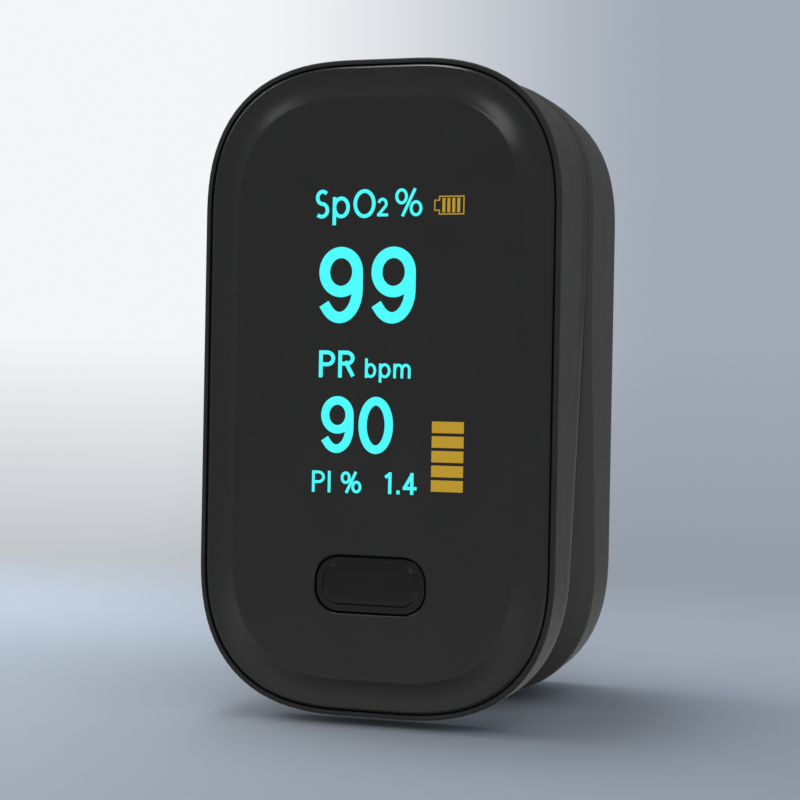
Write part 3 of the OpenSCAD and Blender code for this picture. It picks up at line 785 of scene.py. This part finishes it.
def upper_body():
    piece = mesh_object("upper_body", *upper_solid())
    through = FACE_BACK + 1
    panel_low, panel_high = node_mm("oled_panel")
    window = box_part(panel_low[0] - 0.2, panel_high[0] + 0.2, 0, through,
                      panel_low[2] - 0.2, panel_high[2] + 0.2)
    ribbon_notch = box_part(panel_low[0] - 2.4, panel_low[0] + 1, 0, through,
                            SENSOR_Z - 5.6, SENSOR_Z + 7)
    spare = 0.8
    recess = loft([ring(BUTTON_FORM, BUTTON_HW + spare, BUTTON_HH + spare, BUTTON_R + spare, d, BUTTON_Z)
                   for d in (0.5, POCKET_D + spare)])
    switch_hole = rod_part((0, 0, BUTTON_Z), (0, through, BUTTON_Z), 2.4)
    cut(piece, [window, ribbon_notch, recess, switch_hole, finger_mouth(UPPER_AXIS_D)])
    cut(piece, screw_rods(UPPER_SCREWS, FACE_BACK - 0.2, 4.75, UPPER_POST_R), "UNION")
    cut(piece, screw_rods(UPPER_SCREWS, POCKET_D + 0.6, 8, SCREW_BORE_R, 32))
    even_normals(piece)
    finish_piece(piece, "upper_case", "upper_half", "upper_shell")


def push_button():
    corners = [(0.0, 2.1, 0), (-0.6, 2.1, 0.05), (-0.6, LENS_T, 0.05), (0.0, LENS_T, 0.05),
               (0.0, 0.24, 0.16), (0.62, 0.26, 0.10), (0.86, 0.06, 0.12), (1.5, 0.05, 0)]
    rings = [inset_ring(BUTTON_FORM, BUTTON_HW, BUTTON_HH, BUTTON_R, inset, depth, BUTTON_Z)
             for inset, depth in soften(corners, 5)]
    stem = rod_part((0, 2.0, BUTTON_Z), (0, 2.2, BUTTON_Z), 1.9)
    piece = mesh_object("push_button", *merged([loft(rings), stem]))
    even_normals(piece)
    finish_piece(piece, "button", "button", "button_cap")


# ---- Readout ----

GLYPH_T = 0.02             # the lit shapes are this thick
GLYPH_BACK = 0.004         # and sunk this deep into the lens's raised centre


def arc(x, z, rx, rz, start, end, steps=28):
    turns = np.radians(np.linspace(start, end, steps + 1))
    return [(x + rx * math.cos(t), z + rz * math.sin(t)) for t in turns]


def oval(x, z, rx, rz):
    return arc(x, z, rx, rz, 0, 360, 44)


# Each glyph: its width as a share of its height, and its strokes in a box of 1 by 1
GLYPHS = {
    " ": (0.22, []),
    ".": (0.20, [[(0.5, 0.0), (0.5, 0.03)]]),
    "0": (0.63, [oval(0.5, 0.5, 0.5, 0.5)]),
    "1": (0.42, [[(0.62, 0), (0.62, 1)], [(0.0, 0.86), (0.5, 0.97)]]),
    "2": (0.62, [arc(0.47, 0.71, 0.45, 0.29, 150, -28) + [(0.03, 0.03)], [(0.02, 0), (1, 0)]]),
    "4": (0.66, [[(0.70, 0), (0.70, 1)], [(0.66, 0.95), (0.06, 0.32)], [(0, 0.25), (1, 0.25)]]),
    "9": (0.60, [oval(0.5, 0.70, 0.5, 0.30),
                 [(1.0, 0.61), (1.0, 0.54)] + arc(0.47, 0.43, 0.53, 0.43, 0, -137)]),
    "%": (1.01, [oval(0.2, 0.74, 0.2, 0.26), oval(0.8, 0.26, 0.2, 0.26), [(0.27, 0.0), (0.73, 1.0)]]),
    "I": (0.17, [[(0.5, 0), (0.5, 1)]]),
    "O": (0.80, [oval(0.5, 0.5, 0.5, 0.5)]),
    "P": (0.63, [[(0, 0), (0, 1)],
                 [(0, 1), (0.3, 1)] + arc(0.5, 0.74, 0.5, 0.26, 90, -90) + [(0.3, 0.48), (0, 0.48)]]),
    "R": (0.66, [[(0, 0), (0, 1)],
                 [(0, 1), (0.3, 1)] + arc(0.48, 0.76, 0.46, 0.24, 90, -90) + [(0.3, 0.52), (0, 0.52)],
                 [(0.45, 0.55), (0.92, 0.05)]]),
    "S": (0.525, [arc(0.54, 0.755, 0.46, 0.245, 58, 258) + arc(0.48, 0.255, 0.52, 0.255, 78, -118)]),
    "b": (0.60, [[(0, 0), (0, 1)], oval(0.5, 0.36, 0.5, 0.36)]),
    "m": (0.92, [[(0, 0), (0, 0.70)], arc(0.26, 0.46, 0.24, 0.25, 170, 0) + [(0.5, 0.3), (0.5, 0)],
                 arc(0.76, 0.46, 0.24, 0.25, 170, 0) + [(1.0, 0.3), (1.0, 0)]]),
    "p": (0.625, [[(0, -0.27), (0, 0.70)], oval(0.5, 0.36, 0.5, 0.36)]),
}


def squared(points, reach):
    """Carries both ends of an open stroke on by a reach, so that its ends are square."""
    points = [np.array(p, float) for p in points]
    if np.allclose(points[0], points[-1]):
        return points
    ends = []
    for end, before in ((points[0], points[1]), (points[-1], points[-2])):
        step = end - before
        ends.append(end + step / np.linalg.norm(step) * reach)
    return [ends[0]] + points[1:-1] + [ends[1]]


def ribbon_part(path, width):
    """A flat strip of even width along (x, z) points, closed if the path is."""
    path = np.asarray(path, float)
    closed = np.allclose(path[0], path[-1])
    if closed:
        path = path[:-1]
        along = np.roll(path, -1, axis=0) - np.roll(path, 1, axis=0)
    else:
        along = np.gradient(path, axis=0)
    along /= np.linalg.norm(along, axis=1)[:, None]
    aside = np.column_stack([-along[:, 1], along[:, 0]]) * width / 2
    back = GLYPH_BACK
    front = back - GLYPH_T
    rings = [np.array([(a[0], front, a[1]), (b[0], front, b[1]), (b[0], back, b[1]), (a[0], back, a[1])])
             for a, b in zip(path + aside, path - aside)]
    return loft(rings, closed=closed)


def write(name, text, left, base, height, stroke, gap):
    """One lit word: its strokes are joined into one solid for each glyph."""
    solids = []
    for letter in text:
        share, strokes = GLYPHS[letter]
        width = max(share * height, stroke)
        parts = []
        for path in strokes:
            points = [(left + stroke / 2 + u * (width - stroke), base + stroke / 2 + v * (height - stroke))
                      for u, v in path]
            parts.append(ribbon_part(squared(points, stroke / 2), stroke))
        if parts:
            solid = mesh_object("glyph", *parts[0])
            if len(parts) > 1:
                cut(solid, parts[1:], "UNION")
            solids.append(solid)
        left += width + gap
    lit_piece(name, solids, cyan_light)


def lit_piece(name, solids, material):
    """Joins lit solids into one piece on the lens."""
    bm = bmesh.new()
    for solid in solids:
        bm.from_mesh(solid.data)
        bpy.data.objects.remove(solid)
    mesh = bpy.data.meshes.new(name)
    bm.to_mesh(mesh)
    bm.free()
    piece = in_scene(name, mesh)
    shade(piece, 30)
    mesh.materials.append(material)
    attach(piece, "upper_half")
    return piece


def bar(x0, x1, z0, z1):
    return box_part(x0, x1, GLYPH_BACK - GLYPH_T, GLYPH_BACK, z0, z1)


def bar_graph():
    """Five lit bars, one above the other."""
    left, right, low = 5.73, 8.73, 22.18
    bar_h, pitch = 1.05, 1.34
    parts = [bar(left, right, low + i * pitch, low + i * pitch + bar_h) for i in range(5)]
    lit_piece("bar_graph", [mesh_object("bars", *merged(parts))], gold_light)


def battery_icon():
    """Outline of a cell lying on its side, with its terminal to the left and four bars."""
    left, right, low, high = 6.00, 8.40, 47.46, 49.18
    line = 0.11
    nub_left, nub_h = 5.56, 1.02
    middle = (low + high) / 2
    nub_low, nub_high = middle - nub_h / 2, middle + nub_h / 2
    outline = [bar(left, right, low, low + line), bar(left, right, high - line, high),
               bar(right - line, right, low, high),
               bar(left, left + line, low, nub_low + line), bar(left, left + line, nub_high - line, high),
               bar(nub_left, left + line, nub_low, nub_low + line),
               bar(nub_left, left + line, nub_high - line, nub_high),
               bar(nub_left, nub_left + line, nub_low, nub_high)]
    frame_solid = mesh_object("outline", *outline[0])
    cut(frame_solid, outline[1:], "UNION")
    bar_w, pitch, inset, first = 0.28, 0.465, 0.20, left + 0.33
    bars = [bar(first + i * pitch, first + i * pitch + bar_w, low + inset, high - inset) for i in range(4)]
    lit_piece("battery_icon", [frame_solid, mesh_object("bars", *merged(bars))], gold_light)


def readout():
    """Readings and the usual names of their quantities, as on any pulse oximeter.

    The numbers are the left end, the foot, the height, the stroke and the gap between letters."""
    write("label_oxygen", "SpO", -5.94, 47.22, 2.68, 0.35, 0.34)
    write("label_oxygen_index", "2", 0.12, 47.36, 1.72, 0.27, 0.2)
    write("label_oxygen_unit", "%", 1.84, 47.34, 2.58, 0.28, 0.2)
    write("reading_oxygen", "99", -5.38, 37.50, 7.08, 1.05, 0.82)
    write("label_pulse", "PR", -5.26, 32.46, 2.51, 0.37, 0.30)
    write("label_pulse_unit", "bpm", -0.77, 32.47, 1.80, 0.26, 0.26)
    write("reading_pulse", "90", -4.95, 25.46, 5.28, 0.80, 0.48)
    write("label_perfusion", "PI %", -5.74, 21.78, 2.0, 0.27, 0.255)
    write("reading_perfusion", "1.4", 1.34, 21.82, 2.0, 0.31, 0.24)
    bar_graph()
    battery_icon()


# ---- Lower half ----

def lower_ring(inset, depth):
    hw = CASE_HW - SIDE_DRAFT * np.maximum(0, WIDEST_D - depth) - inset
    hh = MID_Z - END_DRAFT * np.maximum(0, END_DRAFT_D - depth) - inset
    return ring(CASE_FORM, hw, hh, LOWER_R - inset, depth)


def lower_profile():
    """The lower half's outside, from the front rim to the back, as (inset, depth) pairs."""
    heights = ring(CASE_FORM, CASE_HW, MID_Z, LOWER_R, 0)[:, 2]
    rim, fold, width = lower_rim(heights), crease(heights), bevel_width(heights)
    corners = [(width, rim, 0.12), (0.0, fold, 0.22)]
    for share in np.linspace(0.06, 1.0, 14):
        corners.append((0.0, fold + (WIDEST_D - fold) * share, 0))
    steps = 12
    for i in range(1, steps + 1):
        turn = math.pi / 2 * i / steps
        corners.append((BACK_ROUND * (1 - math.cos(turn)),
                        WIDEST_D + (CASE_DEPTH - WIDEST_D) * math.sin(turn), 0))
    corners.append((BACK_ROUND + 0.8, CASE_DEPTH, 0))
    return rim, corners


def lower_solid():
    """The lower half's outside as one filled form."""
    rim, corners = lower_profile()
    profile = soften([(BEVEL_BASE + 0.4, rim, 0)] + corners)
    return loft([lower_ring(inset, depth) for inset, depth in profile])


def lower_body():
    rim, corners = lower_profile()
    inside = [(LOWER_WALL + 1.0, FLOOR_D, 0), (LOWER_WALL, FLOOR_D, 0.5)]
    inside += [(LOWER_WALL, FLOOR_D + (rim + 0.4 - FLOOR_D) * share, 0) for share in (0.1, 0.5, 1.0)]
    inside.append((np.maximum(LOWER_WALL, corners[0][0] + 0.06), rim, 0))
    rings = [lower_ring(inset, depth) for inset, depth in soften(inside + corners)]
    piece = mesh_object("lower_body", *loft(rings))
    far = CASE_DEPTH + 5
    door_hw = DOOR_HW + DOOR_GAP
    bay = box_part(-BAY_HW, BAY_HW, FLOOR_D - 2, BAY_D, BAY_LOW_Z, BAY_HIGH_Z)
    opening = box_part(-door_hw, door_hw, BAY_D - 1, far, SEAT_LOW_Z, BAY_HIGH_Z)
    seat = box_part(-door_hw, door_hw, DOOR_D - 0.05, far, SEAT_LOW_Z, BEYOND_Z)
    rails = box_part(-RAIL_HW, RAIL_HW, BAY_D, DOOR_D + 0.1, SEAT_LOW_Z, BEYOND_Z)
    cord_hole = rod_part((0, CORD_HOLE_D, -1), (0, CORD_HOLE_D, 4), CORD_HOLE_R)
    cut(piece, [bay, opening, seat, rails, finger_mouth(LOWER_AXIS_D), lanyard_pocket(), cord_hole])
    cut(piece, screw_rods(LOWER_SCREWS, 19.6, FLOOR_D + 0.3, LOWER_POST_R), "UNION")
    cut(piece, screw_rods(LOWER_SCREWS, 15, 23.9, SCREW_BORE_R, 32))
    even_normals(piece)
    finish_piece(piece, "lower_case", "lower_half", "lower_shell")


def lanyard_pocket():
    """Cutter for the cord's pocket in the back, with round ends."""
    return loft([ring(BUTTON_FORM, 2.4, 0.9, 0.88, depth, 4.5)
                 for depth in (CASE_DEPTH - 3.5, CASE_DEPTH + 2)])


def groove_part(z, half_length, r, depth):
    """Cutter for one half-round finger groove with round ends, lying across the door."""
    turns = np.linspace(0, math.pi, 9)
    facets = 20
    around = np.linspace(0, 2 * math.pi, facets, endpoint=False)
    ends = [(-1, t) for t in turns[1:5]] + [(1, t) for t in turns[4:8]]
    rings = []
    for side, turn in ends:
        x = side * half_length - r * math.cos(turn)
        size = r * math.sin(turn)
        rings.append(np.column_stack([np.full(facets, x), depth + size * np.cos(around),
                                      z + size * np.sin(around)]))
    return loft(rings)


def door_rail(side, x0, x1, back):
    """One strip along the door's side; x0 and x1 are measured outwards."""
    left, right = sorted((side * x0, side * x1))
    return box_part(left, right, BAY_D + DOOR_GAP, back, 8, 56)


def battery_cover():
    piece = mesh_object("battery_cover", *lower_solid())
    keep = box_part(-DOOR_HW, DOOR_HW, DOOR_D, CASE_DEPTH + 5, DOOR_LOW_Z, BEYOND_Z)
    cut(piece, [keep], "INTERSECT")
    tongues = [door_rail(side, TONGUE_X, TONGUE_X + TONGUE_W, DOOR_D) for side in SIDES]
    webs = [door_rail(side, TONGUE_X, DOOR_HW, DOOR_D + 0.5) for side in SIDES]
    cut(piece, tongues + webs, "UNION")
    cut(piece, [groove_part(11.4 + GROOVE_PITCH * i, 5.6, 0.46, CASE_DEPTH + 0.02)
                for i in range(GROOVES)])
    even_normals(piece)
    finish_piece(piece, "lower_case", "door", "battery_door")


# ---- Finger pads ----

def rubber_solid(name, node):
    """A CAD node's solid with its edges rounded over."""
    piece = frame["nodes"][node].copy()
    piece.data = piece.data.copy()
    piece.name = name
    piece.parent = None
    for key in list(piece.keys()):
        del piece[key]
    bpy.context.scene.collection.objects.link(piece)
    remesh = piece.modifiers.new("remesh", "REMESH")
    remesh.mode = "VOXEL"
    remesh.voxel_size = 0.24 * MM
    relax = piece.modifiers.new("relax", "SMOOTH")
    relax.factor = 0.5
    relax.iterations = 5
    apply_modifiers(piece)
    return piece


def soft_pad(name, node, body, axis_d):
    """A finger pad with shallow ribs across the finger, none of them round the sensor's window."""
    rib_pitch, rib_depth, rib_hw, window_hh = 1.8, 0.14, 6.0, 4.2
    piece = rubber_solid(name, node)
    co = np.array([v.co for v in piece.data.vertices], float)
    x, d, z = co[:, 0] / MM, (co[:, 1] - cad_low.y) / MM, co[:, 2] / MM
    off_axis = np.hypot(x, d - axis_d)
    inner = np.clip((CHANNEL_R + 0.45 - off_axis) / 0.3, 0, 1)
    window = np.clip((np.abs(z - SENSOR_Z) - window_hh) / 0.8, 0, 1)
    wave = (0.5 + 0.5 * np.cos(2 * math.pi * z / rib_pitch)) ** 2
    side_fade = np.clip(rib_hw - np.abs(x), 0, 1)
    push = rib_depth * wave * inner * window * side_fade * MM
    co[:, 0] += x / off_axis * push
    co[:, 1] += (d - axis_d) / off_axis * push
    piece.data.vertices.foreach_set("co", co.astype(np.float32).ravel())
    shade(piece, 60)
    finish_piece(piece, "silicone", body, node)


# ---- Batteries and wire parts ----

def battery(name, node, side, terminal_up):
    """A dry cell: crimped jacket, recessed end ring and stepped terminal."""
    low, high = node_mm(node)[0][2], node_mm(node)[1][2]
    r, nub_r, nub_h = CELL_R, 1.9, 0.9
    body_h = high - low - nub_h
    heights = [(0.0, 0), (3.6, 0), (3.7, 0.12), (4.5, 0.12), (4.6, 0.0), (r - 0.35, 0.0), (r - 0.1, 0.1),
               (r, 0.35), (r, body_h * 0.5), (r, body_h - 0.35), (r - 0.1, body_h - 0.1),
               (r - 0.4, body_h), (r - 0.9, body_h), (r - 1.05, body_h - 0.25), (2.3, body_h - 0.25),
               (2.15, body_h - 0.05), (nub_r, body_h), (nub_r, body_h + nub_h - 0.25),
               (nub_r - 0.08, body_h + nub_h - 0.08), (nub_r - 0.25, body_h + nub_h),
               (0.0, body_h + nub_h)]
    radii = [(max(radius, 0.02), low + h if terminal_up else high - h) for radius, h in heights]
    piece = mesh_object(name, *lathe_part(radii, side * CELL_X, CELL_D), 40)
    finish_piece(piece, "cell_jacket", "lower_half", node)
    piece.data.materials.append(materials["contact_metal"])
    for face in piece.data.polygons:
        centre = face.center
        away = math.hypot(centre.x / MM - side * CELL_X, (centre.y - cad_low.y) / MM - CELL_D)
        face.material_index = 1 if away < r - 0.75 else 0


def contact_cone(side, z_wide, z_narrow):
    """Conical contact spring from its wide turn on the wall to its narrow turn on the cell."""
    turns, steps = 4.5, 150
    path = []
    for i in range(steps + 1):
        share = i / steps
        r = 4 - 1.6 * share
        turn = 2 * math.pi * turns * share
        path.append((side * CELL_X + r * math.cos(turn), CELL_D + r * math.sin(turn),
                     z_wide + (z_narrow - z_wide) * share))
    return tube_part(path, 0.25)


def contact_cones():
    left_low = node_mm("battery_left")[0][2]
    right_high = node_mm("battery_right")[1][2]
    low, high = node_mm("contact_springs")
    parts = [contact_cone(-1, low[2] + 0.25, left_low - 0.3),
             contact_cone(1, high[2] - 0.25, right_high + 0.3)]
    piece = mesh_object("contact_cones", *merged(parts), 60)
    finish_piece(piece, "contact_metal", "lower_half", "contact_springs")


def hinge_spring(name, side):
    """Coil round the hinge pin; its first leg rests on the lower half and its last on the upper."""
    coil_r, wire_r = 1.75, 0.28
    x0, x1 = 11.55, 13.3
    first, last = math.radians(6.8), math.radians(167.1 + 720)
    steps = 120
    path = [(side * x0, HINGE_D + 2.6 - 0.02 * i, 23 + 0.9 * i) for i in range(7)]
    for i in range(steps + 1):
        share = i / steps
        turn = first + (last - first) * share
        path.append((side * (x0 + (x1 - x0) * share), HINGE_D + coil_r * math.cos(turn),
                     HINGE_Z + coil_r * math.sin(turn)))
    end = np.array([side * x1, 9.75, 23.0])
    start = np.array(path[-1])
    path += [tuple(start + (end - start) * i / 7) for i in range(1, 8)]
    piece = mesh_object(name, *tube_part(path, wire_r, 12), 60)
    finish_piece(piece, "contact_metal", None)
    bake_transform(piece)
    return piece


def flex_ribbon():
    """Ribbon between the boards, bowed behind the finger stop so that it can bend."""
    thickness, half_width = 0.12, 3.0
    start_d, end_d, z0 = 5.85, 20.08, 17.0
    bend, bow, steps = 1.2, 1.6, 40
    path = []
    for i in range(steps + 1):
        share = i / steps
        path.append((start_d + (end_d - bend - start_d) * share,
                     z0 - bow * math.sin(math.pi * share) ** 2))
    for i in range(1, 9):
        turn = math.radians(90 * i / 8)
        path.append((end_d - bend + bend * math.sin(turn), z0 + bend * (1 - math.cos(turn))))
    path += [(end_d, z0 + bend + (SENSOR_Z - 1 - z0 - bend) * i / 10) for i in range(1, 11)]
    path = np.array(path)
    tangent = np.gradient(path, axis=0)
    tangent /= np.linalg.norm(tangent, axis=1)[:, None]
    normal = np.column_stack([-tangent[:, 1], tangent[:, 0]])
    outer = path - normal * thickness
    rings = [np.array([(-half_width, a[0], a[1]), (half_width, a[0], a[1]),
                       (half_width, b[0], b[1]), (-half_width, b[0], b[1])])
             for a, b in zip(path, outer)]
    piece = mesh_object("flex_ribbon", *loft(rings), 40)
    finish_piece(piece, "polyimide", None, "flex_cable")
    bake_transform(piece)


# ---- Studio ----

def stage_material():
    """Pale paper: the floor lit from above and painted lighter to the left and towards the back, the wall
    glowing with painted light, white at the left fading to blue-grey at the right and dimmer low down.
    """
    material = bpy.data.materials.new("paper")
    nodes = Tree(material)
    across = nodes.part("Object", "X", -0.078, 0.012)
    up = nodes.part("Object", "Z", -0.015, 0.040, curve="LINEAR")
    # The wall's glow is painted light: white at the left, blue-grey at the right, dimmer low down.
    wall = nodes.mix(across, "Result", (0.905, 0.915, 0.935), (0.355, 0.40, 0.465))
    low_wall = nodes.mix(across, "Result", (0.335, 0.365, 0.400), (0.262, 0.298, 0.345))
    emission = nodes.add("ShaderNodeEmission")
    nodes.link(nodes.mix(up, "Result", low_wall, wall), MIX_OUT, emission, "Color")
    # The floor is painted lighter to the left, and below it is scaled lighter towards the back: painted
    # light.
    floor = nodes.mix(across, "Result", (0.465, 0.53, 0.60), (0.344, 0.385, 0.445))
    painted_lighter_to_back = nodes.add("ShaderNodeVectorMath", operation="SCALE")
    nodes.link(floor, MIX_OUT, painted_lighter_to_back, 0)
    nodes.link(nodes.part("Object", "Y", 0.0, 0.045, 1.0, 1.12), "Result", painted_lighter_to_back, "Scale")
    paper = nodes.add("ShaderNodeBsdfDiffuse")
    nodes.link(painted_lighter_to_back, "Vector", paper, "Color")
    rising = nodes.part("Object", "Z", 0.0001, 0.006)
    surface = nodes.join(rising, "Result", (paper, "BSDF"), (emission, "Emission"))
    clear = nodes.add("ShaderNodeBsdfTransparent")
    one_sided = nodes.join(nodes.add("ShaderNodeNewGeometry"), "Backfacing",
                           (surface, "Shader"), (clear, "BSDF"))
    nodes.link(one_sided, "Shader", nodes.add("ShaderNodeOutputMaterial"), "Surface")
    return material


def studio_sweep():
    """Floor that curves up into a wall behind the object, seen from its front only."""
    half_width, front, foot, curve, top = 1.6, -1.6, 0.045, 0.09, 1.3
    profile = [(front, 0.0), (foot, 0.0)]
    for i in range(1, 25):
        turn = math.pi / 2 * i / 24
        profile.append((foot + curve * math.sin(turn), curve * (1 - math.cos(turn))))
    profile.append((foot + curve, top))
    verts = [(x, y, z) for y, z in profile for x in (-half_width, half_width)]
    faces = [(2 * i, 2 * i + 1, 2 * i + 3, 2 * i + 2) for i in range(len(profile) - 1)]
    mesh = bpy.data.meshes.new("studio_sweep")
    mesh.from_pydata(verts, [], faces)
    mesh.polygons.foreach_set("use_smooth", [True] * len(faces))
    sweep = in_scene("studio_sweep", mesh)
    mesh.materials.append(stage_material())
    sweep.visible_glossy = False


def soft_box(name, middle, offset, width, height, strength):
    """A soft light at an offset from the case's middle, turned towards it."""
    data = bpy.data.lights.new(name, "AREA")
    data.shape = "RECTANGLE"
    data.size, data.size_y = width, height
    data.energy = strength
    light = in_scene(name, data)
    light.location = middle + Vector(offset)
    light.rotation_mode = "QUATERNION"
    light.rotation_quaternion = (-Vector(offset)).to_track_quat("-Z", "Y")


def studio_world():
    """Even neutral light, dimmer in reflections than on matt surfaces, and paler from below."""
    diffuse_level = 0.74
    reflected_levels = ((0.0, 0.22), (0.08, 0.22), (0.15, 0.44), (0.27, 0.66), (0.35, 0.85),
                        (0.45, 0.36), (1.0, 0.36))
    world = bpy.data.worlds.new("studio")
    bpy.context.scene.world = world
    nodes = Tree(world)
    background = nodes.add("ShaderNodeBackground", Color=(0.84, 0.84, 0.84, 1))
    nodes.link(background, "Background", nodes.add("ShaderNodeOutputWorld"), "Surface")
    reflected = nodes.add("ShaderNodeValToRGB")
    nodes.link(nodes.part("Generated", "Z", -1.0, 1.0, curve="LINEAR"), "Result", reflected, "Fac")
    ramp = reflected.color_ramp.elements
    for at, _ in reflected_levels[1:-1]:
        ramp.new(at)
    for stop, (_, level) in zip(ramp, reflected_levels):
        stop.color = (level, level, level, 1)
    strength = nodes.span(nodes.add("ShaderNodeLightPath"), "Is Glossy Ray", 0, 1, diffuse_level, 1)
    nodes.link(reflected, "Color", strength, "To Max")
    nodes.link(strength, "Result", background, "Strength")


def studio_light():
    """Overhead, upper left and upper right boxes, and two to the left for the lens's edge."""
    middle = Vector((0, 0, MID_Z * MM))
    soft_box("top_box", middle, (-0.06, 0.02, 0.40), 0.18, 0.10, 0.44)
    soft_box("left_box", middle, (-0.250, -0.215, 0.255), 0.10, 0.08, 0.034)
    soft_box("right_box", middle, (0.10, -0.33, 0.245), 0.14, 0.10, 0.11)
    soft_box("corner_box", middle, (-0.30, 0.06, 0.26), 0.20, 0.20, 0.34)
    soft_box("edge_box", middle, (-0.38, 0.11, 0.05), 0.14, 0.30, 0.14)


def photographer():
    """The camera: turned to the object's right, almost level, a long lens close to the object."""
    yaw, pitch, roll = math.radians(-16.058), math.radians(0.283), math.radians(1.054)
    aside, distance, rise = -2.345, 157.408, 1.06
    view = Matrix.Rotation(roll, 3, "Y") @ Matrix.Rotation(pitch, 3, "X") @ Matrix.Rotation(yaw, 3, "Z")
    focus = Vector((0, cad_low.y + SLOPE_DROP * MM, MID_Z * MM))
    data = bpy.data.cameras.new("camera")
    data.lens = 76.5
    data.sensor_width = 36
    data.clip_start = 0.005
    camera = in_scene("camera", data)
    turn = view.transposed()
    location = focus - turn @ (Vector((aside, distance, rise)) * MM)
    upright = Matrix.Rotation(math.pi / 2, 3, "X")
    camera.matrix_world = Matrix.Translation(location) @ (turn @ upright).to_4x4()
    bpy.context.scene.camera = camera


# ---- Assembly ----

dress_frame()
front_lens()
upper_body()
push_button()
readout()
lower_body()
battery_cover()
soft_pad("finger_pad_upper", "upper_pad", "upper_half", UPPER_AXIS_D)
soft_pad("finger_pad_lower", "lower_pad", "lower_half", LOWER_AXIS_D)
battery("cell_left", "battery_left", -1, True)
battery("cell_right", "battery_right", 1, False)
contact_cones()
left_spring = hinge_spring("hinge_spring_left", -1)
hinge_spring("hinge_spring_right", 1)
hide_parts("torsion_springs")
flex_ribbon()

bpy.context.scene.view_settings.view_transform = "Standard"
studio_sweep()
studio_world()
studio_light()
photographer()
